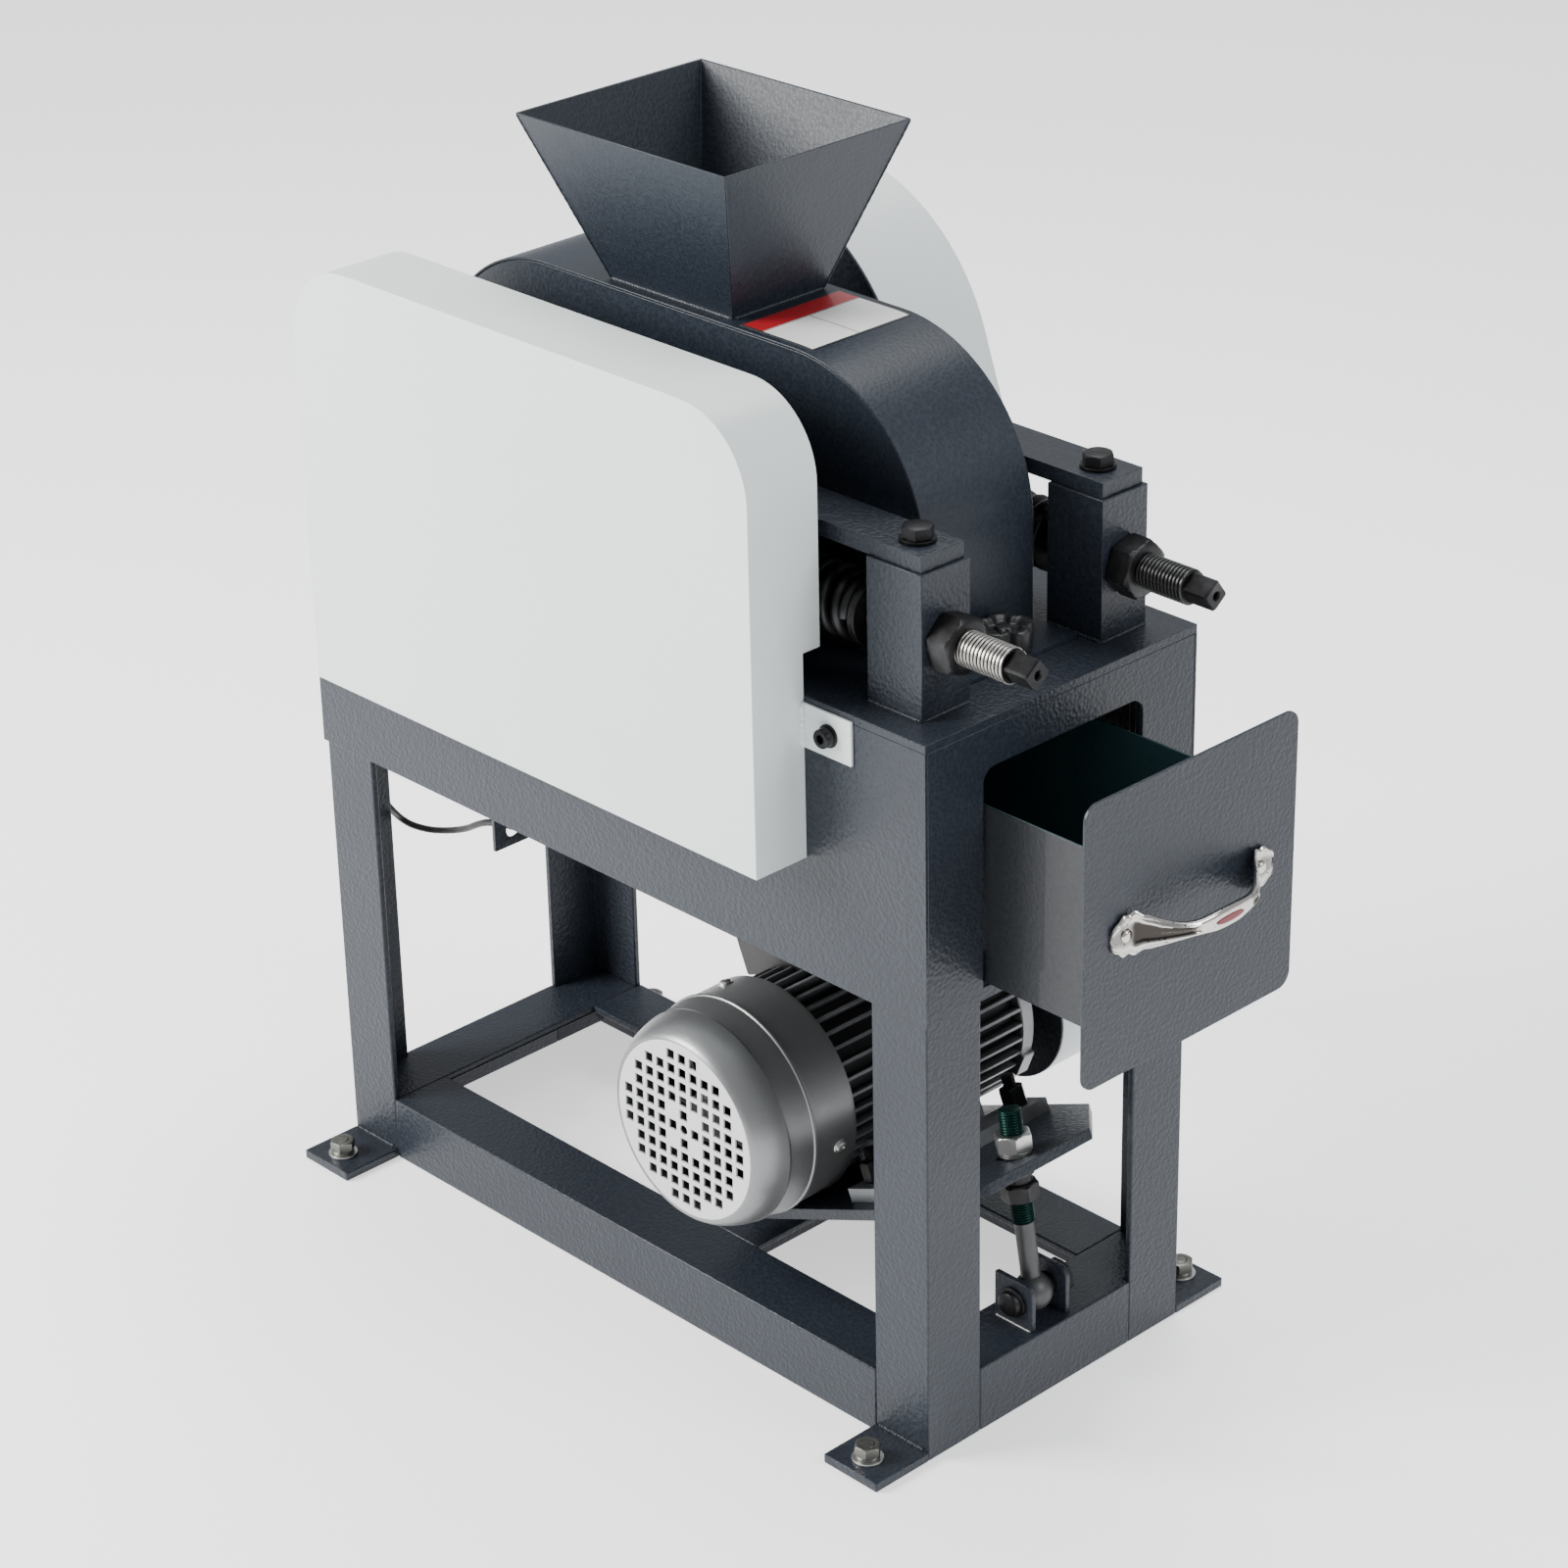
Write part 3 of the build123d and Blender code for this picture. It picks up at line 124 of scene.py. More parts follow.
# ---- Shading: a surface's colours and roughness are written as sums and products.
# Every finish below is made with this one class, on the piece's own coordinates.
class Shade:
    """One output of a node in a material; arithmetic on it adds Math nodes."""

    def __init__(self, tree, socket=None):
        self.tree, self.socket = tree, socket

    def node(self, kind, settings=None, out=0, **inputs):
        """Adds a node: settings first (a ramp's stops too), then values or links by name."""
        made = self.tree.nodes.new("ShaderNode" + kind)
        for name, value in (settings or {}).items():
            if name == "stops":
                while len(made.color_ramp.elements) < len(value):
                    made.color_ramp.elements.new(1.0)
                for stop, (at, colour) in zip(made.color_ramp.elements, value):
                    stop.position, stop.color = at, (*colour, 1)
            else:
                setattr(made, name, value)
        for name, value in inputs.items():
            plug = made.inputs[int(name[1:])] if name[1:].isdigit() else made.inputs[name.replace("_", " ")]
            if isinstance(value, Shade):
                self.tree.links.new(value.socket, plug)
            else:
                plug.default_value = value
        return Shade(self.tree, made.outputs[out])

    def maths(self, operation, *others):
        sockets = {f"i{i}": v for i, v in enumerate((self, *others))}
        return self.node("Math", {"operation": operation}, **sockets)

    def __add__(self, other): return self.maths("ADD", other)
    def __mul__(self, other): return self.maths("MULTIPLY", other)
    def __sub__(self, other): return self.maths("SUBTRACT", other)
    def __truediv__(self, other): return self.maths("DIVIDE", other)
    def __gt__(self, other): return self.maths("GREATER_THAN", other)
    def __lt__(self, other): return self.maths("LESS_THAN", other)
    def __rsub__(self, other): return self.node("Math", {"operation": "SUBTRACT"}, i0=other, i1=self)
    __radd__, __rmul__ = __add__, __mul__

    def step(self, low, high):
        """0 below low, 1 above high and a smooth rise between."""
        return self.node("MapRange", {"interpolation_type": "SMOOTHSTEP"},
                         Value=self, From_Min=low, From_Max=high)

    def mix(self, first, second):
        """first where this is 0 and second where it is 1, for colours."""
        return self.node("Mix", {"data_type": "RGBA"}, 2, i0=self, i6=rgba(first), i7=rgba(second))

    def axis(self, letter):
        return self.node("SeparateXYZ", None, "XYZ".index(letter), Vector=self)


def rgba(colour):
    return colour if isinstance(colour, Shade) else (*colour, 1)


def srgb(red, green, blue):
    """A colour as it is seen, 0 to 255, as linear light."""
    level = np.array([red, green, blue]) / 255
    return tuple(float(v) for v in np.where(level < 0.04045, level / 12.92, ((level + 0.055) / 1.055) ** 2.4))


def finish(name, build, **fixed):
    """A material: fixed sockets are set once, and build(place, tree) gives the varying ones."""
    material = bpy.data.materials.new(name)
    material.use_nodes = True
    tree = material.node_tree
    shader = tree.nodes["Principled BSDF"]
    for socket, value in fixed.items():
        shader.inputs[socket.replace("_", " ")].default_value = value
    start = Shade(tree)
    place = start.node("TexCoord", None, 3)
    for socket, value in build(place).items():
        plug = shader.inputs[socket.replace("_", " ")]
        if isinstance(value, Shade):
            tree.links.new(value.socket, plug)
        else:
            plug.default_value = value
    return material


def noise(place, scale, detail=3.0, rough=0.5):
    return place.node("TexNoise", None, 0, Vector=place, Scale=scale, Detail=detail, Roughness=rough)


def cells(place, scale):
    """Smooth pebbles: 0 at a pebble's middle, rising to its edge."""
    return place.node("TexVoronoi", {"feature": "SMOOTH_F1"}, 0, Vector=place, Scale=scale, Smoothness=0.6)


def raised(height, distance, strength=1.0, under=None):
    more = {"Normal": under} if under is not None else {}
    return height.node("Bump", None, 0, Height=height, Distance=distance, Strength=strength, **more)


def hammered(name, colour, pebble=330.0, depth=0.00042, rough=0.36):
    """Hammer-tone enamel: pebbles 3 mm across, with slow drifts of tone and gloss."""
    def build(place):
        skin = cells(place, pebble)
        drift = noise(place, 5.0)
        grain = noise(place, 900.0, 2.0)
        tone = drift * 0.20 + skin * 0.55 + grain * 0.08 + 0.60
        body = place.node("VectorMath", {"operation": "SCALE"}, 0, i0=colour, Scale=tone)
        bump = raised(skin, depth, 0.9, raised(grain, 0.00002, 0.5))
        return {"Base_Color": body, "Roughness": skin * 0.16 + noise(place, 14.0) * 0.12 + (rough - 0.12),
                "Normal": bump}
    return finish(name, build, Metallic=0.0, Specular_IOR_Level=0.30, Coat_Weight=0.03, Coat_Roughness=0.28)


slate_paint = hammered("slate_hammer_paint", srgb(37, 42, 50))
sheet_paint = hammered("slate_sheet_paint", srgb(36, 42, 51), 380.0, 0.00013, 0.38)


# ---- Motor lead: a 5 mm black rubber flex from the motor's terminal box, hung through a
# tab on the cabinet's skin and out of the open back to the switch box behind.
def grid_faces(rows, columns, wrap_rows, wrap_columns, first=0):
    """Quads between neighbours of a rows x columns grid of points, going round where it wraps."""
    r = np.arange(rows if wrap_rows else rows - 1)
    c = np.arange(columns if wrap_columns else columns - 1)
    r0, c0 = (a.ravel() for a in np.meshgrid(r, c, indexing="ij"))
    r1, c1 = (r0 + 1) % rows, (c0 + 1) % columns
    return np.stack([r0 * columns + c0, r0 * columns + c1, r1 * columns + c1, r1 * columns + c0], 1) + first


def surface(name, *sheets, crease=40.0, merge=1e-6):
    """One mesh from grids of points (rows, columns, 3), each with its two wrap flags.
    Coincident points are merged and faces are turned outwards."""
    points, faces, first = [], [], 0
    for grid, wrap_rows, wrap_columns in sheets:
        rows, columns = grid.shape[:2]
        points.append(grid.reshape(-1, 3))
        faces.append(grid_faces(rows, columns, wrap_rows, wrap_columns, first))
        first += rows * columns
    mesh = bpy.data.meshes.new(name)
    mesh.from_pydata(np.concatenate(points), [], np.concatenate(faces).tolist())
    tidy(mesh, merge)
    return shaded(into_scene(name, mesh), crease)


def tidy(mesh, merge):
    """Merges points closer than merge and turns the faces outwards."""
    work = bmesh.new()
    work.from_mesh(mesh)
    bmesh.ops.remove_doubles(work, verts=work.verts, dist=merge)
    bmesh.ops.recalc_face_normals(work, faces=work.faces)
    work.to_mesh(mesh)
    work.free()


def shaded(thing, crease):
    """Smooth shading, with edges sharper than crease degrees left sharp."""
    mesh = thing.data
    mesh.polygons.foreach_set("use_smooth", np.ones(len(mesh.polygons), bool))
    mesh.set_sharp_from_angle(angle=math.radians(crease))
    return thing


def unit(v):
    v = np.asarray(v, float)
    return v / np.linalg.norm(v, axis=-1, keepdims=True)


def tube(path, radius, sides=16, shape=None):
    """Grid of a tube round a path: point + r(t) (cos a, sin a) in a frame that never twists.
    shape is not used; the ends close to a point."""
    path = np.asarray(path, float)
    ahead = unit(np.gradient(path, axis=0))
    across = np.zeros_like(ahead)
    across[0] = unit(np.cross(ahead[0], (0.31, 0.17, 0.94)))
    for i in range(1, len(path)):
        across[i] = unit(across[i - 1] - ahead[i] * (across[i - 1] @ ahead[i]))
    up = np.cross(ahead, across)
    a = np.linspace(0, 2 * np.pi, sides, endpoint=False)
    r = np.broadcast_to(np.asarray(radius, float), (len(path),))[:, None, None]
    ring = r * (np.cos(a)[None, :, None] * across[:, None] + np.sin(a)[None, :, None] * up[:, None])
    body = path[:, None] + ring
    caps = [np.repeat(path[i][None, None], sides, 1) for i in (0, -1)]
    return np.concatenate([caps[0], body, caps[1]], 0)


def wear(thing, material, body, slot, *nodes):
    """Gives a piece its finish, its body and the frame nodes that it stands for."""
    thing.data.materials.clear()
    thing.data.materials.append(material)
    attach(thing, body)
    if nodes:
        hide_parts(*nodes)
    return thing


def flex_rubber(place):
    return {"Roughness": noise(place, 240.0) * 0.2 + 0.42, "Normal": raised(noise(place, 1400.0), 0.00002)}


LEAD_POINTS = [(13.22, 0, 260.588), (-5.19, 0, 252.773), (-31, -11, 256), (-57, -34, 272), (-81, -64, 293),
               (-100, -91, 313), (-120, -106, 322), (-145, -109, 318), (-174, -97, 301), (-205, -81, 281),
               (-238, -71, 264), (-270, -67, 252), (-300, -66, 248), (-322, -68, 261), (-331, -71, 286),
               (-330, -70, 318), (-330, -70, 368)]
rubber = finish("lead_rubber", flex_rubber, Base_Color=(0.012, 0.012, 0.013, 1))
line = bpy.data.curves.new("lead_line", "CURVE")
line.dimensions = "3D"
spline = line.splines.new("NURBS")
spline.points.add(len(LEAD_POINTS) - 1)
for point, place in zip(spline.points, LEAD_POINTS):
    point.co = (*(v * MM for v in place), 1)
spline.order_u, spline.use_endpoint_u = 3, True
spline.resolution_u = 8
carrier = into_scene("lead_line", line)
bpy.context.view_layer.update()
drawn = bpy.data.meshes.new_from_object(carrier)
lead_path = np.empty(len(drawn.vertices) * 3)
drawn.vertices.foreach_get("co", lead_path)
lead_path = lead_path.reshape(-1, 3)
bpy.data.objects.remove(carrier)
lead = surface("motor_flex", (tube(lead_path, 2.5 * MM), False, True))
lead.data.materials.append(rubber)
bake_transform(lead)
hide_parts("motor_lead")


# ---- Shaped parts that several sections below are made from: turned, hexagonal and threaded.
# Each works in its own frame, with its axis along Z, and is then stood where it belongs.
def stand(grid, place, axis, lean=(1, 0, 0)):
    """Moves points so that Z follows axis, X lies nearest lean, and the origin is at place.
    Where lean runs along axis, X is taken level instead."""
    z = unit(axis)
    x = np.asarray(lean, float) - z * np.dot(lean, z)
    x = unit(x if np.linalg.norm(x) > 1e-6 else np.cross(z, (0, 0, 1)))
    return np.asarray(place, float) + grid @ np.array([x, np.cross(z, x), z])


def turned(profile, sides=48):
    """A turned shape: each (radius, height) of the profile goes round the Z axis."""
    profile = np.asarray(profile, float)
    a = np.linspace(0, 2 * np.pi, sides, endpoint=False)[None, :, None]
    r, h = profile[:, None, :1], profile[:, None, 1:]
    return np.concatenate([r * np.cos(a), r * np.sin(a), np.broadcast_to(h, (len(profile), sides, 1))], 2)


def hexagonal(flats, height, bore=0.0, sides=96, face=True):
    """A nut or bolt head: the hexagon's radius flats / 2 / cos(a), cut back by 30 degree cones."""
    a = np.linspace(0, 2 * np.pi, sides, endpoint=False)
    inside = flats / 2 / np.cos((a + np.pi / 6) % (np.pi / 3) - np.pi / 6)
    levels = np.array([0, 0.02, 0.05, 0.1, 0.16, 0.25, 0.5, 0.75, 0.84, 0.9, 0.95, 0.98, 1.0]) * height
    rim = flats / 2 * 0.94
    low = rim + levels / math.tan(math.radians(28)) * (3 if not face else 1)
    high = rim + (height - levels) / math.tan(math.radians(28))
    r = np.minimum(inside[None], np.minimum(low, high)[:, None])
    rings = np.stack([r * np.cos(a), r * np.sin(a), np.broadcast_to(levels[:, None], r.shape)], 2)
    hole = [np.stack([bore * s * np.cos(a), bore * s * np.sin(a), np.full_like(a, z)], 1)[None]
            for s, z in ((1, 0.0), (1, height))]
    return np.concatenate([hole[0], rings, hole[1]], 0)


def threaded(radius, length, pitch, depth=0.6, sides=32, per_turn=8, flat=0.115, flank=0.77):
    """A screw: radius less a blunt triangle wave of (z / pitch - a / 2 pi); flat is the share of
    the wave that the crest takes and flank the share that the slope takes."""
    steps = int(length / pitch * per_turn) + 1
    z = np.linspace(0, length, steps)[:, None]
    a = np.linspace(0, 2 * np.pi, sides, endpoint=False)[None]
    wave = np.abs(((z / pitch - a / (2 * np.pi)) % 1.0) * 2 - 1)
    r = radius - depth * pitch * np.clip((wave - flat) / flank, 0, 1)
    r = np.where((z < 1e-9) | (z > length - 1e-9), radius - 0.6 * pitch, r)
    return np.stack([r * np.cos(a), r * np.sin(a), np.broadcast_to(z, r.shape)], 2)


def capped(grid):
    """Closes a grid's first and last ring to a point at their middles."""
    ends = [np.repeat(grid[i].mean(0)[None, None], grid.shape[1], 1) for i in (0, -1)]
    return np.concatenate([ends[0], grid, ends[1]], 0)


def rod(radius, length, ease=0.0006):
    """A round bar with its ends eased."""
    e = min(ease, radius / 3, length / 3)
    return turned([(0, 0), (radius - e, 0), (radius, e), (radius, length - e), (radius - e, length),
                   (0, length)])


def eased(node, width=0.0012, segments=2, crease=30.0, name=None):
    """A copy of a frame node's mesh with its sharp edges rounded to width."""
    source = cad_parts[node]
    mesh = source.data.copy()
    work = bmesh.new()
    work.from_mesh(mesh)
    bmesh.ops.remove_doubles(work, verts=work.verts, dist=2e-6)
    bmesh.ops.dissolve_limit(work, angle_limit=math.radians(0.5), verts=work.verts, edges=work.edges)
    work.to_mesh(mesh)
    work.free()
    thing = into_scene(name or node + "_shape", mesh)
    rounding = thing.modifiers.new("rounding", "BEVEL")
    rounding.width, rounding.segments, rounding.limit_method = width, segments, "ANGLE"
    rounding.angle_limit, rounding.use_clamp_overlap = math.radians(crease), True
    rounding.harden_normals = False
    return shaded(thing, crease)


# ---- Stand: four legs of 50 x 50 x 5 angle, ground rails of the same angle, foot plates
# and the cross angle with the hinge lugs, cut square, welded and painted as one.
def weld_bead(name, ends, radius, body="base", material=None, ripple=0.0022):
    """A fillet weld along the runs between listed ends: a tube that swells once a ripple."""
    grids = []
    for start, end in ends:
        start, end = np.asarray(start, float), np.asarray(end, float)
        span = np.linalg.norm(end - start)
        t = np.linspace(0, 1, max(6, int(span / ripple * 4)))
        path = start + t[:, None] * (end - start)
        phase = np.sin(t * span / ripple * 2 * np.pi) * 0.12 + np.sin(t * 37.0) * 0.08
        taper = np.clip(np.minimum(t, 1 - t) * span / radius, 0.25, 1)
        grids.append((tube(path, radius * (1 + phase) * taper, 10), False, True))
    bead = surface(name, *grids, crease=80)
    return wear(bead, material or slate_paint, body, "frame_paint")


for node in ("legs", "base_rails", "hinge_cross_member"):
    wear(eased(node, 0.0011), slate_paint, "base", "frame_paint", node)
wear(eased("foot_plates", 0.0009), slate_paint, "base", "frame_paint", "foot_plates")

foot_high, rail_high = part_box("foot_plates")[1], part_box("base_rails")[1]
plate_runs = []
for sx in (-1, 1):
    for sy in (-1, 1):
        near, far = sx * 0.2585, sx * 0.3035
        plate_runs.append(((near, sy * rail_high.y, foot_high.z), (far, sy * rail_high.y, foot_high.z)))
weld_bead("foot_welds", plate_runs, 0.0022)
lug_runs = [((0.038, sy * 0.0445, 0.0502), (0.056, sy * 0.0445, 0.0502)) for sy in (-1, 1)]
weld_bead("lug_welds", lug_runs, 0.0016)


# ---- Anchor bolts: M10 zinc studs with a plain washer, a split washer and a hex nut each.
def zinc(place):
    streak = noise(place, 60.0)
    blue = streak.mix((0.52, 0.53, 0.52), (0.66, 0.66, 0.62))
    return {"Base_Color": blue, "Roughness": noise(place, 320.0) * 0.25 + 0.22,
            "Normal": raised(noise(place, 1500.0, 2.0), 0.000015)}


bright_zinc = finish("bright_zinc", zinc, Metallic=1.0)


# The anchor nuts and studs: the same zinc plating as the washers, darkened as painted shade.
def zinc_in_painted_shade(place):
    return {"Base_Color": noise(place, 60.0).mix((0.13, 0.13, 0.12), (0.24, 0.24, 0.22)),
            "Roughness": noise(place, 320.0) * 0.25 + 0.25}


painted_shade_zinc = finish("painted_shade_zinc", zinc_in_painted_shade, Metallic=0.9)


def anchor(x, y, top):
    lift = (0, 0, 1)
    washer = turned([(0.0052, 0), (0.0108, 0), (0.011, 0.0003), (0.011, 0.0017), (0.0108, 0.002),
                     (0.0052, 0.002)])
    split = turned([(0.0052, 0), (0.0082, 0), (0.0084, 0.0003), (0.0084, 0.0021), (0.0082, 0.0023),
                    (0.0052, 0.0023)])
    return [(stand(washer, (x, y, top), lift), True, True)], [
            (stand(split, (x, y, top + 0.002), lift), True, True),
            (stand(hexagonal(0.0165, 0.0078, 0.0049), (x, y, top + 0.0043), lift, (0.8, 0.6, 0)), True, True),
            (stand(capped(threaded(0.0049, 0.0125, 0.0015)), (x, y, top + 0.0094 - 0.0095), lift), False,
             True)]


anchors = [anchor(x, y, foot_high.z) for x in (-0.281, 0.281) for y in (-0.158, 0.158)]
wear(surface("anchor_washers", *(sheet for flat, _ in anchors for sheet in flat)), bright_zinc, "base",
     "zinc_plated")
wear(surface("anchor_bolts", *(sheet for _, bolt in anchors for sheet in bolt)), painted_shade_zinc, "base",
     "zinc_plated",
     "foot_bolts")


# ---- Cabinet and table: 2 mm sheet folded round the legs and welded to a 6 mm table,
# with the drawer's doorway in the front sheet and two angle runners behind it.
for node in ("cabinet_side_near", "cabinet_side_far", "cabinet_front", "cabinet_rear"):
    wear(eased(node, 0.0007), slate_paint, "base", "frame_paint", node)
wear(eased("table_plate", 0.0014), slate_paint, "base", "frame_paint", "table_plate")
wear(eased("drawer_runners", 0.0005), slate_paint, "base", "frame_paint", "drawer_runners")


# ---- Posts, top bars and bearing housings: solid steel blocks on the table, tied across
# the top by two flat bars, all in the stand's own paint over milled faces.
for node, width in (("posts", 0.0012), ("top_bars", 0.0010)):
    wear(eased(node, width), slate_paint, "base", "frame_paint", node)
wear(eased("fixed_bearing_blocks", 0.0012), slate_paint, "base", "frame_paint", "fixed_bearing_blocks")
wear(eased("moving_bearing_blocks", 0.0012), slate_paint, "moving_carriage", "frame_paint",
     "moving_bearing_blocks")

post_low, post_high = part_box("posts")
POST_L, POST_W, LINE_Y, AXIS_Z = 0.048, 0.043, 0.0825, 0.585
foot_runs = []
for sx in (-1, 1):
    for sy in (-1, 1):
        x0, x1 = sx * (post_high.x - POST_L), sx * post_high.x
        y0, y1 = sy * (LINE_Y - POST_W / 2), sy * (LINE_Y + POST_W / 2)
        z = post_low.z + 0.0004
        foot_runs += [((x0, y0, z), (x1, y0, z)), ((x0, y1, z), (x1, y1, z)), ((x1, y0, z), (x1, y1, z))]
weld_bead("post_welds", foot_runs, 0.0017)


# ---- Bar bolts: black M12 hex bolts on plain washers, one over each post.
def black_oxide(place):
    skin = noise(place, 190.0, 4.0)
    worn = noise(place, 33.0).step(0.52, 0.75)
    colour = worn.mix((0.012, 0.012, 0.013), (0.045, 0.045, 0.047))
    return {"Base_Color": colour, "Roughness": skin * 0.3 + 0.24, "Normal": raised(skin, 0.00004, 0.6)}


oxide = finish("black_oxide_steel", black_oxide, Metallic=0.65)
bar_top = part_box("top_bars")[1].z


def bar_bolt(x, y, turn):
    lift, lean = (0, 0, 1), (math.cos(turn), math.sin(turn), 0)
    washer = turned([(0.0062, 0), (0.0117, 0), (0.012, 0.0004), (0.012, 0.0021), (0.0116, 0.0025),
                     (0.0062, 0.0025)])
    head = hexagonal(0.0188, 0.0076, face=False)
    return [(stand(washer, (x, y, bar_top), lift), True, True),
            (stand(rod(0.0060, 0.030), (x, y, bar_top - 0.026), lift), False, True),
            (stand(head, (x, y, bar_top + 0.0025), lift, lean), False, True)]


turns = iter((0.35, 0.1, 0.62, 0.88))
bolts = [s for x in (-0.259, 0.259) for y in (-LINE_Y, LINE_Y) for s in bar_bolt(x, y, next(turns))]
wear(surface("bar_bolts_shape", *bolts), oxide, "base", "black_oxide", "bar_bolts")


# ---- Roll adjusters: M24 screws with squared ends, a lock nut on each post, and a heavy
# coil spring between each screw's seat and the sliding bearing block.
def machined(tint, rough=0.26):
    def build(place):
        ring = noise(place, 700.0, 2.0)
        return {"Base_Color": noise(place, 25.0).mix(tint, tuple(c * 0.78 for c in tint)),
                "Roughness": ring * 0.18 + rough, "Normal": raised(ring, 0.00001)}
    return build


bright = finish("bright_turned_steel", machined((0.50, 0.50, 0.49)), Metallic=1.0)
SQUARE_X, TIP_X, SCREW_R = 0.341, 0.361, 0.012
THREAD_X, THREAD_PITCH, SEAT_X = 0.2243, 0.003, 0.2042


def squared_end(length, flats=0.0155):
    """A square bar with turned-off corners: min(flats / 2 / cos a, 0.66 flats), then its centre hole."""
    a = np.linspace(0, 2 * np.pi, 96, endpoint=False)
    side = np.minimum(flats / 2 / np.cos((a + np.pi / 4) % (np.pi / 2) - np.pi / 4), flats * 0.655)
    rings = [(side * 0.99, 0.0), (side, 0.0004), (side, length - 0.0012), (side * 0.9, length),
             (np.full_like(a, 0.0034), length), (np.full_like(a, 0.0026), length - 0.0012),
             (np.full_like(a, 0.0026), length - 0.006)]
    grid = np.stack([np.stack([r * np.cos(a), r * np.sin(a), np.full_like(a, z)], 1) for r, z in rings])
    return capped(grid)


def cut_thread(tint):
    """Bright crests over roots painted near-black as painted shade, by the distance from the nearer screw's
    axis.
    """
    def build(place):
        y, z = place.axis("Y").maths("ABSOLUTE") - LINE_Y, place.axis("Z") - AXIS_Z
        crest = (y * y + z * z).maths("SQRT").step(SCREW_R - 0.0010, SCREW_R - 0.0004)
        wear_marks = noise(place, 120.0)
        # The near-black at the thread roots is painted shade.
        return {"Base_Color": crest.mix((0.010, 0.010, 0.010), tint), "Roughness": wear_marks * 0.2 + 0.22}
    return build


for side, sy, metal in (("near", -1, finish("cut_thread", cut_thread((0.36, 0.35, 0.33)), Metallic=0.9)),
                        ("far", 1, finish("dark_thread", cut_thread((0.060, 0.060, 0.060)), Metallic=0.7))):
    out = (1, 0, 0)
    y = sy * LINE_Y
    thread = threaded(SCREW_R, SQUARE_X - THREAD_X, THREAD_PITCH, depth=0.42, sides=40, per_turn=16,
                      flat=0.42, flank=0.30)
    sheets = [(stand(capped(thread), (THREAD_X, y, AXIS_Z), out), False, True),
              (stand(rod(0.008, 0.0035), (0.2205, y, AXIS_Z), out), False, True)]
    end_piece = surface("screw_end_" + side, (stand(squared_end(TIP_X - SQUARE_X), (SQUARE_X, y, AXIS_Z), out,
                                                    (0, 0.8, 0.6)), False, True), crease=32)
    wear(end_piece, oxide, "screw_" + side, "black_oxide")
    slot = "bright_steel" if sy < 0 else "black_oxide"
    wear(surface("screw_" + side, *sheets, crease=32), metal, "screw_" + side, slot,
         "adjusting_screw_" + side)
    seat = turned([(0, 0.0), (0.0145, 0.0), (0.015, 0.0005), (0.015, 0.0138), (0.0225, 0.0142),
                   (0.023, 0.0147),
                   (0.023, 0.0193), (0.0225, 0.0198), (0.0082, 0.0198), (0.0081, 0.0161), (0, 0.0161)])
    seat_piece = surface("seat_" + side, (stand(seat, (SEAT_X, y, AXIS_Z), out), False, True))
    wear(seat_piece, oxide, "seat_" + side, "bright_steel", "spring_seat_" + side)

nuts = [(stand(hexagonal(0.0358, 0.0188, 0.0121), (post_high.x + 0.0001, sy * LINE_Y, AXIS_Z), (1, 0, 0),
               (0, math.cos(t), math.sin(t))), True, True) for sy, t in ((-1, 0.2), (1, 0.75))]
wear(surface("lock_nuts_shape", *nuts), oxide, "base", "black_oxide", "lock_nuts")


def spring_path(start, end, radius, turns, steps=340):
    """A helix whose pitch closes up over the first and last three quarters of a turn."""
    t = np.linspace(0, 1, steps)
    ground = 0.75 / turns
    rise = np.clip((t - ground * 0.6) / (1 - ground * 1.2), 0, 1)
    a = 2 * np.pi * turns * t
    return np.stack([start + (end - start) * rise, radius * np.cos(a), radius * np.sin(a)], 1)


for side, sy in (("near", -1), ("far", 1)):
    low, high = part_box("spring_" + side)
    path = spring_path(low.x + 0.0042, high.x - 0.0042, 0.020, 6.5) + np.array([0, sy * LINE_Y, AXIS_Z])
    coil = surface("coil_" + side, (tube(path, 0.0038, 14), False, True), crease=70)
    wear(coil, oxide, "base", "black_oxide", "spring_" + side)
    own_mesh(coil)


# ---- Rolls, shafts, bearings and the meshing gear pair: ground steel rolls on 40 mm
# shafts in ball bearings, with a black iron gear keyed to each on the guard side.
def cast_iron(place):
    grain = noise(place, 420.0, 5.0)
    return {"Base_Color": noise(place, 30.0).mix((0.045, 0.046, 0.048), (0.075, 0.075, 0.076)),
            "Roughness": grain * 0.2 + 0.40, "Normal": raised(grain, 0.00006, 0.7)}


def rolled(place):
    scratch = noise(place, 260.0, 4.0)
    return {"Base_Color": scratch.mix((0.32, 0.32, 0.31), (0.45, 0.45, 0.43)),
            "Roughness": scratch * 0.25 + 0.25,
            "Normal": raised(scratch, 0.00003)}


iron = finish("black_iron", cast_iron, Metallic=0.45)
ground = finish("ground_steel", rolled, Metallic=1.0)


def fluted_roll(radius, half, flutes=120):
    """A roll with shallow helical flutes: radius less 0.4 mm where cos(flutes a + twist y) dips."""
    a = np.linspace(0, 2 * np.pi, flutes * 6, endpoint=False)[None]
    y = np.linspace(-half, half, 13)[:, None]
    edge = np.clip((half - np.abs(y)) / 0.001, 0, 1)
    r = radius - 0.0004 * (0.5 - 0.5 * np.cos(flutes * a + y * 60)) - 0.0006 * (1 - edge)
    shell = np.stack([r * np.cos(a), r * np.sin(a), np.broadcast_to(y, r.shape)], 2)
    ring = [np.stack([q * np.cos(a[0]), q * np.sin(a[0]), np.full(a.shape[1], z)], 1)[None]
            for q, z in ((0.0201, -half), (0.0201, half))]
    return np.concatenate([ring[0], shell, ring[1]], 0)


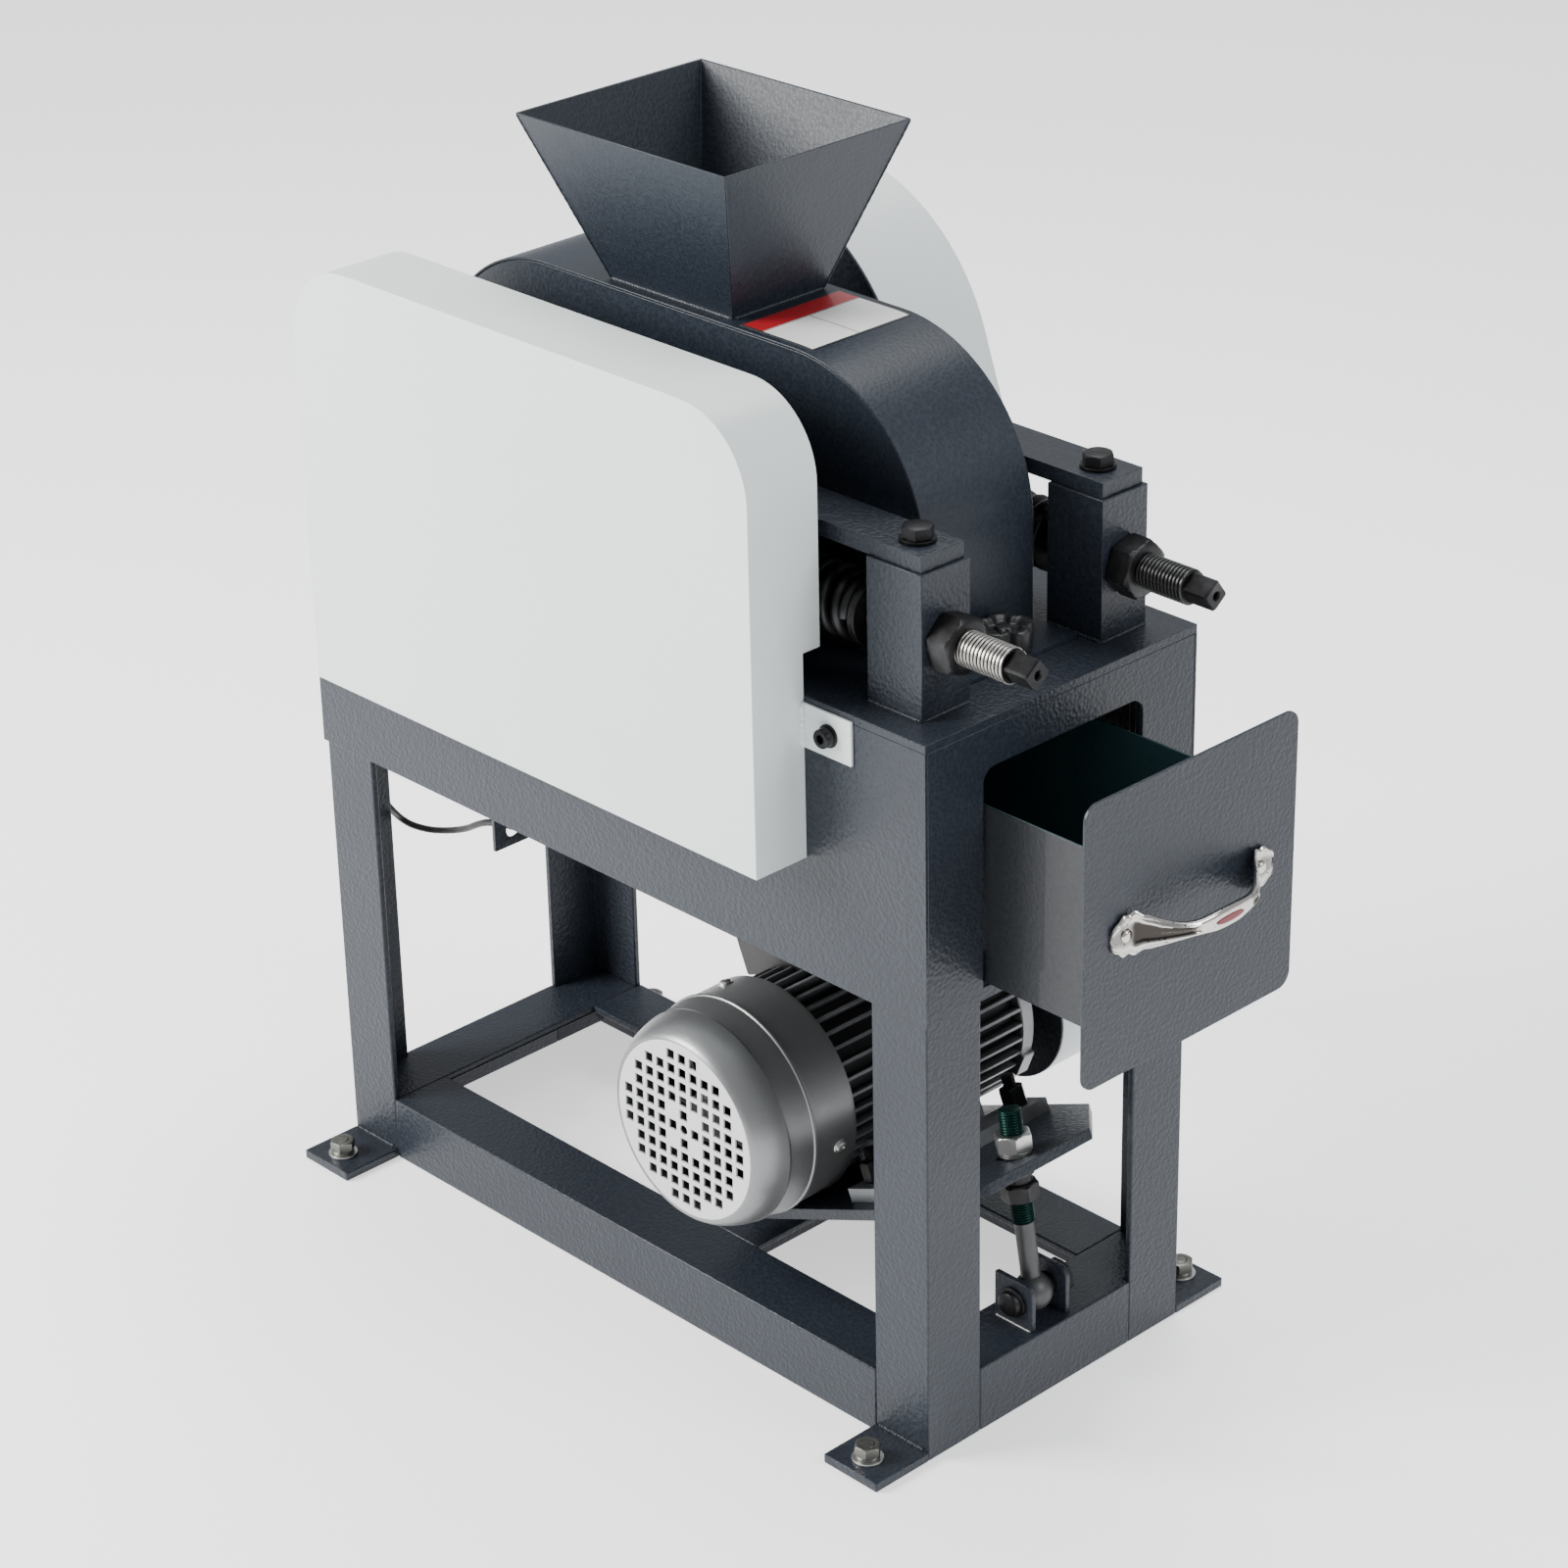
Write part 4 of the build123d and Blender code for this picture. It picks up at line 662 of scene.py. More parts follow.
for name in ("fixed", "moving"):
    low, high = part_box(name + "_roll")
    middle = (low + high) / 2
    body = name + "_roll_unit"
    shape = stand(fluted_roll(0.0999, high.y - middle.y), middle, (0, 1, 0))
    wear(surface(name + "_roll_shape", (shape, True, True), crease=50), ground, body, "cast_iron",
         name + "_roll")
    low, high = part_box(name + "_shaft")
    bar = stand(rod(0.020, high.y - low.y, 0.0012), (middle.x, low.y, AXIS_Z), (0, 1, 0))
    wear(surface(name + "_shaft_shape", (bar, False, True)), bright, body, "bright_steel", name + "_shaft")
    wear(eased(name + "_gear", 0.0004, 1), iron, body, "cast_iron", name + "_gear")
    rings = []
    for sy in (-1, 1):
        at = (middle.x, sy * LINE_Y, AXIS_Z)
        outline = [(0.02006, -0.0115), (0.027, -0.0115), (0.0275, -0.0098), (0.0335, -0.0098),
                   (0.034, -0.0115),
                   (0.0396, -0.0115), (0.04, -0.011), (0.04, 0.011), (0.0396, 0.0115), (0.034, 0.0115),
                   (0.0335, 0.0098), (0.0275, 0.0098), (0.027, 0.0115), (0.02006, 0.0115)]
        rings.append((stand(turned(outline, 96), at, (0, 1, 0)), True, True))
    carrier = "base" if name == "fixed" else "moving_carriage"
    wear(surface(name + "_races", *rings), bright, carrier, "bright_steel", name + "_bearings")


# ---- Belt drive: cast-iron two-groove pulleys and a pair of moulded V belts.
wear(eased("big_pulley", 0.0006, 1), iron, "fixed_roll_unit", "cast_iron", "big_pulley")
wear(eased("motor_pulley", 0.0006, 1), iron, "rotor", "cast_iron", "motor_pulley")


def belt_rubber(place):
    fray = noise(place, 700.0)
    return {"Base_Color": fray.mix((0.010, 0.010, 0.011), (0.022, 0.021, 0.020)),
            "Roughness": fray * 0.2 + 0.55,
            "Normal": raised(fray, 0.00008)}


def belt_loop(middle, big, small, wide=0.012, narrow=0.0084, deep=0.0085, ease=0.0008):
    """A V section carried round both pulleys: centre + (r + rise) (cos a, sin a), where a holds still
    along each straight run while the centre and r slide from one pulley to the other."""
    lean = math.atan2(small[1] - big[1], small[0] - big[0])
    spread = math.acos((big[2] - small[2]) / math.hypot(small[0] - big[0], small[1] - big[1]))
    first, last = lean + spread, lean - spread + 2 * np.pi
    over, under = np.linspace(first, last, 97), np.linspace(last, first + 2 * np.pi, 49)
    run = np.linspace(0, 1, 33)[1:-1]
    share = np.concatenate([0 * over, run, 0 * under + 1, run[::-1]])[:, None]
    a = np.concatenate([over, 0 * run + last, under, 0 * run + first])[:, None]
    half = [(0, wide / 2 - ease), (-ease, wide / 2), (ease - deep, narrow / 2 + ease / 4),
            (-deep, narrow / 2 - ease)]
    section = np.array(half + [(rise, -y) for rise, y in half[::-1]])
    x, z, r = (big[i] + (small[i] - big[i]) * share for i in range(3))
    out = r + section[None, :, 0]
    return np.stack([x + out * np.cos(a), middle + 0 * a + section[None, :, 1], z + out * np.sin(a)], 2)


# Each pulley's centre and the radius that the belts' backs lie on; the belts run 16 mm apart.
BIG_PULLEY, SMALL_PULLEY = (-0.124, 0.585, 0.1146), (0.10566, 0.18869, 0.0346)
BELT_LINES = (0.158, 0.174)
loops = [(belt_loop(y, BIG_PULLEY, SMALL_PULLEY), True, True) for y in BELT_LINES]
belts = surface("vee_belts", *loops, crease=50)
belts.data.materials.append(finish("vee_belt_rubber", belt_rubber))
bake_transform(belts)
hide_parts("drive_belts")


# ---- Casing: 2 mm sheet rolled over both rolls, with flat side plates let in between its
# edges, a flanged foot on the table, and the hopper of folded sheet welded on top.
for node, width in (("casing_wrapper", 0.0006), ("casing_sides", 0.0005), ("casing_base", 0.0006),
                    ("hopper", 0.0005)):
    wear(eased(node, width, crease=28), sheet_paint, "casing", "casing_paint", node)

hopper_low, hopper_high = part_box("hopper")
HOPPER_MID, HOPPER_FOOT = (hopper_low.x + hopper_high.x) / 2, (0.059, 0.041)
foot = [(HOPPER_MID + sx * HOPPER_FOOT[0], sy * HOPPER_FOOT[1], hopper_low.z + 0.0003)
        for sx, sy in ((-1, -1), (1, -1), (1, 1), (-1, 1))]
mouth = [(HOPPER_MID + sx * (hopper_high.x - hopper_low.x) / 2, sy * hopper_high.y, hopper_high.z - 0.001)
         for sx, sy in ((-1, -1), (1, -1), (1, 1), (-1, 1))]
weld_bead("hopper_foot_weld", list(zip(foot, foot[1:] + foot[:1])), 0.0016, "casing", ripple=0.003)
corner_runs = [(a, tuple(b[i] - 0.0004 * math.copysign(1, b[i]) if i < 2 else b[i] for i in range(3)))
               for a, b in zip(foot, mouth)]
weld_bead("hopper_corner_weld", corner_runs, 0.0007, "casing", ripple=0.006)


def wrapper_height(x):
    """The casing's top: flat, then an arc of 117 mm about its right-hand centre."""
    case_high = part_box("casing_wrapper")[1]
    radius = 0.117
    middle = case_high.x - radius
    return case_high.z - radius + np.sqrt(np.maximum(radius ** 2 - np.maximum(x - middle, 0) ** 2, 0))


def label_print(place):
    """A plain pale label: a red band along its upper end, a thin dark rule round it and one
    down its middle."""
    along, across = place.axis("X"), place.axis("Y")
    band = along < 0.0815
    pale = band.mix((0.80, 0.80, 0.78), (0.42, 0.012, 0.018))
    middle = ((across + 0.002).maths("ABSOLUTE") < 0.0004) * (along > 0.082)
    rule = ((along - 0.0822).maths("ABSOLUTE") < 0.0004) + middle
    rim = (across.maths("ABSOLUTE") > 0.0435) + (along < 0.0635) + (along > 0.1275)
    inked = (rule + rim).maths("MINIMUM", 1.0)
    return {"Base_Color": inked.mix(pale, (0.03, 0.03, 0.03)), "Roughness": noise(place, 90.0) * 0.1 + 0.28}


x = np.linspace(0.062, 0.129, 25)
y = np.linspace(-0.045, 0.045, 7)
sheets = []
for lift in (0.00008, 0.0003):
    top = np.stack([np.repeat(x[:, None], 7, 1), np.repeat(y[None], 25, 0),
                    np.repeat(wrapper_height(x)[:, None] + lift, 7, 1)], 2)
    sheets.append(top)
loop = np.concatenate([sheets[0], sheets[1][::-1]], 0)
sides = [np.stack([sheets[0][:, k], sheets[1][:, k]], 1) for k in (0, -1)]
label = surface("casing_label", (loop, True, False), *((s, False, False) for s in sides), crease=30)
wear(label, finish("printed_film", label_print, Coat_Weight=0.3, Coat_Roughness=0.1), "casing", "guard_paint")


# ---- Star knob: a five-lobed black moulding on an M8 stud, clamping the casing's foot.
def knob_shape(radius, height, lobes=5):
    """Radius holds near full on each lobe and drops in a round scoop between; the crown is flat,
    with a softened rim and a shallow dish that leaves the lobes standing as arms."""
    a = np.linspace(0, 2 * np.pi, 192, endpoint=False)
    scoop = np.abs(np.sin(lobes * a / 2))
    outline = radius * (1 - 0.24 * scoop ** 4.0)
    levels = [(0.96, 0.0), (0.99, 0.0005), (1.0, 0.0012), (1.0, height - 0.0014), (0.985, height - 0.0005),
              (0.955, height),
              (0.72, height - 0.0004), (0.60, height - 0.0028), (0.50, height - 0.0036),
              (0.34, height - 0.0036),
              (0.30, height - 0.0020), (0.26, height - 0.0016), (0.1, height - 0.0016)]
    rows = [np.stack([outline * s * np.cos(a), outline * s * np.sin(a), np.full_like(a, z)], 1) for s,
            z in levels]
    return capped(np.stack(rows))


def moulded(place):
    grain = noise(place, 600.0)
    return {"Roughness": grain * 0.2 + 0.30, "Normal": raised(grain, 0.00003)}


black_plastic = finish("black_moulding", moulded, Base_Color=(0.012, 0.012, 0.013, 1))
low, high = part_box("star_knob")
knob_x = (low.x + high.x) / 2
knob = surface("knob_head", (stand(knob_shape(0.0198, 0.019), (knob_x, 0, high.z - 0.019), (0, 0, 1)),
                             False, True),
               (stand(rod(0.009, 0.003), (knob_x, 0, high.z - 0.0217), (0, 0, 1)), False, True),
               (stand(rod(0.004, high.z - 0.020 - low.z), (knob_x, 0, low.z), (0, 0, 1)), False, True),
               crease=50)
wear(knob, black_plastic, "knob", "black_plastic", "star_knob")


# ---- Guards: 1.5 mm sheet boxes over the gears and the belts, seam-welded round their
# faces, ground back and sprayed a pale grey-white; the belt guard closes on a dark plate.
def pale_enamel(place):
    peel = noise(place, 210.0, 3.0)
    speck = noise(place, 900.0, 2.0)
    cloud = noise(place, 4.0).mix((0.66, 0.715, 0.71), (0.74, 0.79, 0.785))
    dents = noise(place, 16.0, 2.0)
    bump = raised(dents, 0.0005, 0.35, raised(peel, 0.00005, 0.6, raised(speck, 0.00002, 0.5)))
    return {"Base_Color": cloud, "Roughness": peel * 0.15 + 0.36, "Normal": bump}


pale_paint = finish("pale_guard_enamel", pale_enamel, Coat_Weight=0.12, Coat_Roughness=0.3)
wear(eased("gear_guard", 0.0013, 3, crease=28), pale_paint, "base", "guard_paint", "gear_guard")
wear(eased("belt_guard", 0.0013, 3, crease=28), pale_paint, "base", "guard_paint", "belt_guard")
wear(eased("belt_guard_back", 0.0005), slate_paint, "base", "frame_paint", "belt_guard_back")

guard_low, guard_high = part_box("gear_guard")
TAB_INNER, TAB_LOW, TAB_TALL = 0.201, 0.500, 0.031
tab_run = [((TAB_INNER + 0.0004, -0.1293, TAB_LOW), (TAB_INNER + 0.0004, -0.1293, TAB_LOW + TAB_TALL))]
weld_bead("tab_weld", tab_run, 0.0022, material=pale_paint, ripple=0.004)
seam = [((-0.185, guard_low.y + 0.0006, guard_high.z - 0.0002),
         (0.144, guard_low.y + 0.0006, guard_high.z - 0.0002))]
weld_bead("guard_seam", seam, 0.0007, material=pale_paint, ripple=0.03)


def guard_screw(x, y, z, sy):
    """A socket-headed screw on a washer: head with a hexagonal well, turned to face away."""
    out = (0, sy, 0)
    washer = turned([(0.0042, 0), (0.0078, 0), (0.008, 0.0003), (0.008, 0.0012), (0.0078, 0.0015),
                     (0.0042, 0.0015)])
    a = np.linspace(0, 2 * np.pi, 72, endpoint=False)
    well = 0.0030 / np.cos((a + np.pi / 6) % (np.pi / 3) - np.pi / 6)
    rings = [(np.full_like(a, 0.0062), 0.0), (np.full_like(a, 0.0065), 0.0003),
             (np.full_like(a, 0.0065), 0.0060),
             (np.full_like(a, 0.0060), 0.0066), (well, 0.0066), (well, 0.0030)]
    head = capped(np.stack([np.stack([r * np.cos(a), r * np.sin(a), np.full_like(a, h)], 1) for r,
                            h in rings]))
    return [(stand(washer, (x, y, z), out), True, True),
            (stand(head, (x, y + sy * 0.0014, z), out), False, True),
            (stand(rod(0.0039, 0.004), (x, y - sy * 0.0039, z), out), False, True)]


screws = [s for x in (-0.2712, 0.2252) for s in guard_screw(x, -0.129, 0.5155, -1)]
screws += [s for x, z in ((-0.180, 0.480), (-0.020, 0.400)) for s in guard_screw(x, 0.129, z, 1)]
wear(surface("guard_screws", *screws), oxide, "base", "black_oxide", "guard_bolts")


# ---- Drawer: a folded tray, dark green-black inside, with a thick front plate and a cast
# nickel pull held by two screws.
def tray_paint(place):
    wall = (place.axis("Y").maths("ABSOLUTE") < 0.0713) * (place.axis("Z") > 0.3478)
    inside = wall * (place.axis("X") < 0.4142)
    drift = noise(place, 9.0)
    # Inside: the tray's teal paint, lifted much lighter as painted light for the light reaching into the
    # shaded tray. Outside: darker than the front's slate, as painted shade.
    tone = inside.mix(srgb(22, 26, 32), srgb(60, 90, 96))
    skin = cells(place, 330.0)
    return {"Base_Color": tone, "Roughness": skin * 0.16 + drift * 0.1 + 0.32,
            "Normal": raised(skin, 0.00016, 0.7)}


wear(eased("drawer_box", 0.0004, crease=28), finish("tray_enamel", tray_paint, Coat_Weight=0.15), "drawer",
     "drawer_paint",
     "drawer_box")
wear(eased("drawer_front", 0.0006), slate_paint, "drawer", "frame_paint", "drawer_front")


def eased_through(places, stations, values):
    """Values at the given places: a straight run between stations, then two passes of a soft average."""
    line = np.interp(places, stations, values)
    for _ in range(2):
        line = np.convolve(np.pad(line, 4, "edge"), np.ones(9) / 9, "valid")
    return line


def pull_shape(back, middle_z, screw_y=0.064, over=0.013):
    """The pull's skin over y along it and a round its section, flat feet on the plate and the grip
    standing off 27 mm. Its half height waists beyond the grip and fans out to scalloped feet; two
    ribs run down each shoulder, with a hollow between them. Also gives how deep each point lies."""
    n, m = 221, 72
    half = screw_y + over
    y = np.linspace(-half, half, n)
    u = np.abs(y) * 1000
    off = eased_through(u, (0, 12, 24, 33, 41, 48, 54, 59, 77),
                        (26.5, 26.2, 24.0, 20.5, 15.0, 8.5, 3.0, 0.4, 0.0))
    tall = eased_through(u, (0, 10, 20, 28, 36, 44, 52, 57, 62, 68, 73, 77),
                         (6.9, 6.7, 5.4, 5.0, 6.2, 8.8, 12.6, 15.4, 15.2, 13.4, 11.0, 8.5))
    lobes = 1 + 0.07 * np.cos((u - 57) * 2 * np.pi / 9.5) * np.clip((u - 48) / 6, 0, 1)
    end = np.sqrt(np.clip((77.0 - u) / 6, 0, 1) * (2 - np.clip((77.0 - u) / 6, 0, 1)))
    tall = tall * lobes * (0.25 + 0.75 * end)
    foot = np.clip((u - 46) / 10, 0, 1)
    thick = (3.0 * (1 - foot) + 1.5 * foot) * (0.4 + 0.6 * end)
    a = np.linspace(0, 2 * np.pi, m, endpoint=False)[None]
    across = np.sign(np.cos(a)) * np.abs(np.cos(a)) ** 0.8
    rise = np.sign(np.sin(a)) * np.abs(np.sin(a)) ** 0.7
    shoulder = (np.clip((u - 22) / 8, 0, 1) * np.clip((60 - u) / 8, 0, 1))[:, None]
    on_top = rise > 0
    spread = 0.50 + 0.12 * foot[:, None]
    ribs = 1.5 * shoulder * sum(np.exp(-((across - s * spread) / 0.13) ** 2) for s in (-1, 1)) * on_top
    hollow = (1.1 * shoulder + 0.9 * foot[:, None]) * np.exp(-(across / 0.55) ** 6) * on_top
    rim = 0.7 * foot[:, None] * np.exp(-((np.abs(across) - 0.86) / 0.09) ** 2) * on_top
    x = back + MM * (0.3 + off[:, None] + thick[:, None] * (1 + rise) + ribs + rim - hollow)
    z = middle_z + MM * tall[:, None] * across
    deep = hollow / 2 - ribs / 2 + 0.5 * np.exp(-((np.abs(across) - spread) / 0.30) ** 2) * shoulder * on_top
    return np.stack([x, np.broadcast_to(y[:, None], x.shape), z], 2), np.clip(deep, 0, 1)


def nickel(place):
    pits = noise(place, 420.0, 4.0)
    patina = place.node("Attribute", {"attribute_name": "depth"}, 2) + pits.step(0.58, 0.70) * 0.35
    return {"Base_Color": patina.step(0.02, 0.70).mix((0.58, 0.56, 0.53), (0.045, 0.040, 0.036)),
            "Roughness": pits * 0.12 + 0.10, "Normal": raised(noise(place, 230.0), 0.00008, 0.5)}


plated = finish("cast_nickel", nickel, Metallic=1.0)
front_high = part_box("drawer_front")[1]
PULL_Z, PULL_HALF = 0.420, 0.064
pull_grid, pull_depth = pull_shape(front_high.x, PULL_Z)
pull = surface("drawer_pull", (capped(pull_grid), False, True), crease=50, merge=1e-7)
depth = np.zeros(len(pull.data.vertices))
skin_points = pull_grid.reshape(-1, 3).astype(np.float32)
nearest = {tuple(p): d for p, d in zip(skin_points.tolist(), pull_depth.ravel())}
for i, vertex in enumerate(pull.data.vertices):
    depth[i] = nearest.get(tuple(vertex.co), 0.0)
pull.data.attributes.new("depth", "FLOAT", "POINT").data.foreach_set("value", depth)
wear(pull, plated, "drawer", "nickel", "drawer_handle")

t = np.linspace(-1, 1, 33)[:, None]
a = np.linspace(0, 2 * np.pi, 24, endpoint=False)[None]
oval_r = np.sqrt(np.clip(1 - t ** 2, 0, 1))
crown = pull_grid[:, :, 0].max()
inlay = np.stack([crown + 0.00005 + 0.0003 * oval_r * np.cos(a) - 0.0012 * t ** 2 * 0.1,
                  np.broadcast_to(t * 0.013, (33, 24)), PULL_Z + 0.0026 * oval_r * np.sin(a)], 2)


def red_enamel(place):
    return {"Roughness": noise(place, 300.0) * 0.1 + 0.15}


badge = surface("pull_inlay", (inlay, False, True), crease=60)
wear(badge, finish("red_enamel", red_enamel, Base_Color=(0.16, 0.004, 0.010, 1)), "drawer", "nickel")


def dome_screw(x, y, z):
    head = turned([(0.0021, -0.002), (0.0045, 0.0), (0.0046, 0.0005), (0.0041, 0.0016), (0.0028, 0.0023),
                   (0, 0.0026)])
    return [(stand(capped(head[::-1]), (x, y, z), (1, 0, 0)), False, True)]


heads = [s for sy in (-1, 1) for s in dome_screw(front_high.x + 0.0024, sy * PULL_HALF, PULL_Z)]
inner_nuts = [(stand(hexagonal(0.007, 0.003), (0.4105, sy * PULL_HALF, PULL_Z), (1, 0, 0)), False,
               True) for sy in (-1, 1)]
inner_nuts += [(stand(rod(0.002, 0.012), (0.4095, sy * PULL_HALF, PULL_Z), (1, 0, 0)), False,
                True) for sy in (-1, 1)]
wear(surface("pull_screws", *heads, *inner_nuts), plated, "drawer", "nickel", "handle_screws")


# ---- Motor: an 80-frame machine in silver enamel. The finned body and its feet are one
# casting; a pressed cover with a square-punched grille goes over the fan.
def silver_enamel(place):
    peel = noise(place, 420.0, 4.0)
    flake = noise(place, 1600.0, 2.0)
    cloud = noise(place, 7.0)
    colour = (flake * 0.5 + cloud * 0.5).mix((0.17, 0.175, 0.18), (0.30, 0.305, 0.31))
    return {"Base_Color": colour, "Roughness": peel * 0.2 + 0.28, "Normal": raised(peel, 0.00010, 0.8)}


silver = finish("silver_enamel", silver_enamel, Metallic=0.80, Coat_Weight=0.10, Coat_Roughness=0.25)
MOTOR = ((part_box("fan_cover")[0].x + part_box("fan_cover")[1].x) / 2,
         (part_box("fan_cover")[0].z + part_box("fan_cover")[1].z) / 2)
TILT, HINGE = math.radians(23.0), (0.047, 0.062)
UP_SLOPE, OFF_PLATE = (math.cos(TILT), 0, math.sin(TILT)), (-math.sin(TILT), 0, math.cos(TILT))


def on_plate(u, y, w):
    """A place given along the slope, across it and off it, in the row's frame."""
    return (HINGE[0] + u * UP_SLOPE[0] + w * OFF_PLATE[0], y, HINGE[1] + u * UP_SLOPE[2] + w * OFF_PLATE[2])


def body_enamel(place):
    """The same silver, with painted shade between the fins: near-black inside the fin roots, by distance from
    the motor's axis.
    """
    x, z = place.axis("X") - MOTOR[0], place.axis("Z") - MOTOR[1]
    out = (x * x + z * z).maths("SQRT")
    outside_fin_shade = out.step(0.0665, 0.0735)
    peel = noise(place, 420.0, 4.0)
    # Near-black below the fin tips is painted shade; silver beyond them.
    return {"Base_Color": outside_fin_shade.mix((0.018, 0.019, 0.020), (0.20, 0.21, 0.22)),
            "Roughness": peel * 0.2 + 0.32,
            "Normal": raised(peel, 0.00010, 0.8)}


finned = finish("silver_enamel_body", body_enamel, Metallic=0.55)
wear(eased("motor_housing", 0.0006, 1), finned, "motor_unit", "motor_paint", "motor_housing")
wear(eased("drive_end_shield", 0.0010), silver, "motor_unit", "aluminium", "drive_end_shield")

COVER_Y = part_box("fan_cover")[0].y
cover_profile = [(0.0652, 0.0018), (0.0658, 0.0004), (0.0667, 0.0), (0.0677, 0.0005), (0.0697, 0.0026),
                 (0.0722, 0.0062), (0.0746, 0.0112), (0.0766, 0.0175), (0.0779, 0.0235), (0.0782, 0.0252),
                 (0.0778, 0.0266), (0.0777, 0.0280), (0.0789, 0.0400), (0.0796, 0.0462), (0.0806, 0.0468),
                 (0.0809, 0.0476), (0.0809, 0.0484), (0.0805, 0.0492), (0.0796, 0.0498), (0.0797, 0.0820),
                 (0.0802, 0.0852), (0.0800, 0.0860), (0.0788, 0.0860), (0.0785, 0.0820), (0.0783, 0.0500),
                 (0.0765, 0.0270), (0.0748, 0.0180), (0.0724, 0.0115), (0.0688, 0.0050), (0.0655, 0.0026)]
cover = surface("cover_shell", (stand(turned(cover_profile, 160), (MOTOR[0], COVER_Y, MOTOR[1]), (0, 1, 0)),
                                True, True),
                crease=25)
wear(cover, silver, "motor_unit", "motor_paint")

face = surface("cover_face", (stand(turned([(0, 0.0004), (0.0655, 0.0004), (0.0658, 0.0008),
                                            (0.0655, 0.0018), (0, 0.0018)], 160),
                                    (MOTOR[0], COVER_Y, MOTOR[1]), (0, 1, 0)), False, True))
PITCH, HOLE, REACH = 0.0110, 0.0074, (5, 5, 4, 4, 3, 1)
corner_x, corner_z = np.array([-1, 1, 1, -1]) * HOLE / 2, np.array([-1, -1, 1, 1]) * HOLE / 2
punches, punch_faces = [], []
for i in range(-5, 6):
    for j in range(-REACH[abs(i)], REACH[abs(i)] + 1):
        if abs(i) == abs(j) and abs(i) < 2:
            continue
        first = len(punches) * 8
        x, z = MOTOR[0] + i * PITCH + corner_x, MOTOR[1] + j * PITCH + corner_z
        punches.append([(x[k], COVER_Y + d, z[k]) for d in (-0.001, 0.003) for k in range(4)])
        punch_faces += [[first + q for q in quad] for quad in
                        ((0, 1, 2, 3), (7, 6, 5, 4), (0, 4, 5, 1), (1, 5, 6, 2), (2, 6, 7, 3), (3, 7, 4, 0))]
punch_mesh = bpy.data.meshes.new("punches")
punch_mesh.from_pydata(np.array(punches).reshape(-1, 3), [], punch_faces)
tidy(punch_mesh, 1e-7)
punch = into_scene("punches", punch_mesh)
middle_hole = surface("middle_hole", (stand(rod(0.0036, 0.006), (MOTOR[0], COVER_Y - 0.002, MOTOR[1]),
                                            (0, 1, 0)), False, True))
for tool in (punch, middle_hole):
    cut = face.modifiers.new("cut", "BOOLEAN")
    cut.operation, cut.object, cut.solver = "DIFFERENCE", tool, "EXACT"
bpy.context.view_layer.update()
cut_mesh = bpy.data.meshes.new_from_object(face.evaluated_get(bpy.context.evaluated_depsgraph_get()))
face.modifiers.clear()
face.data = cut_mesh
for tool in (punch, middle_hole):
    bpy.data.objects.remove(tool)
shaded(face, 25)


# The grille face is the cover's silver enamel painted paler: a painted highlight for the light the flat face
# catches.
def pale_face(place):
    peel = noise(place, 420.0, 4.0)
    return {"Base_Color": noise(place, 12.0).mix((0.56, 0.57, 0.57), (0.64, 0.65, 0.64)),
            "Roughness": peel * 0.2 + 0.33,
            "Normal": raised(peel, 0.00006, 0.6)}


wear(face, finish("silver_enamel_face", pale_face, Metallic=0.25), "motor_unit", "motor_paint", "fan_cover")


def blade(turn, root=0.018, tip=0.056, tall=0.024):
    """One straight fan blade: a thin plate from root to tip, tall along the shaft."""
    c, s = math.cos(turn), math.sin(turn)
    r = np.linspace(root, tip, 5)[:, None]
    ring = np.array([(-1, 0), (1, 0), (1, 1), (-1, 1)], float)
    off, along = ring[None, :, 0] * 0.0011, ring[None, :, 1] * tall
    grid = np.stack([r * c - off * s, r * s + off * c, np.broadcast_to(along, (5, 4))], 2)
    return capped(grid)


hub = stand(turned([(0, 0), (0.017, 0), (0.018, 0.001), (0.018, 0.024), (0.058, 0.0255), (0.058, 0.0275),
                    (0, 0.0275)]),
            (MOTOR[0], COVER_Y + 0.020, MOTOR[1]), (0, 1, 0))
blades = [(stand(blade(math.radians(60 * k + 11)), (MOTOR[0], COVER_Y + 0.0215, MOTOR[1]), (0, 1, 0)),
           False, True)
          for k in range(6)]
wear(surface("cooling_fan", (hub, False, True), *blades), black_plastic, "rotor", "black_plastic")
shaft_low, shaft_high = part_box("motor_shaft")
core = [(0, 0), (0.0114, 0), (0.012, 0.0006), (0.012, 0.120), (0.038, 0.121), (0.038, 0.198), (0.012, 0.199),
        (0.012, shaft_high.y - shaft_low.y - 0.0008), (0.0112, shaft_high.y - shaft_low.y),
        (0, shaft_high.y - shaft_low.y)]
wear(surface("rotor_shaft", (stand(turned(core), (MOTOR[0], shaft_low.y, MOTOR[1]), (0, 1, 0)), False,
                             True)), bright,
     "rotor", "bright_steel", "motor_shaft")


def cross_screw(x, z, y):
    """A pan-headed screw standing off the cover's rim, out along the radius, with its cross cut."""
    out = unit((x - MOTOR[0], 0, z - MOTOR[1]))
    head = turned([(0.0042, -0.001), (0.0042, 0.0006), (0.0039, 0.0018), (0.0026, 0.0027), (0.0012, 0.0029),
                   (0.0008, 0.0021), (0, 0.0020)], 24)
    ring = turned([(0.0022, -0.0004), (0.0054, -0.0004), (0.0055, 0.0), (0.0053, 0.0004), (0.0022, 0.0004)],
                  24)
    return [(stand(capped(head), (x, y, z), out, (0, 1, 0)), False, True),
            (stand(ring, (x, y, z), out, (0, 1, 0)), True, True)]


rim_screws = []
for turn in (-7.0, 113.0, 233.0):
    c, s = math.cos(math.radians(turn)), math.sin(math.radians(turn))
    rim_screws += cross_screw(MOTOR[0] + 0.0799 * c, MOTOR[1] + 0.0799 * s, COVER_Y + 0.071)
wear(surface("cover_screws", *rim_screws), bright_zinc, "motor_unit", "zinc_plated")


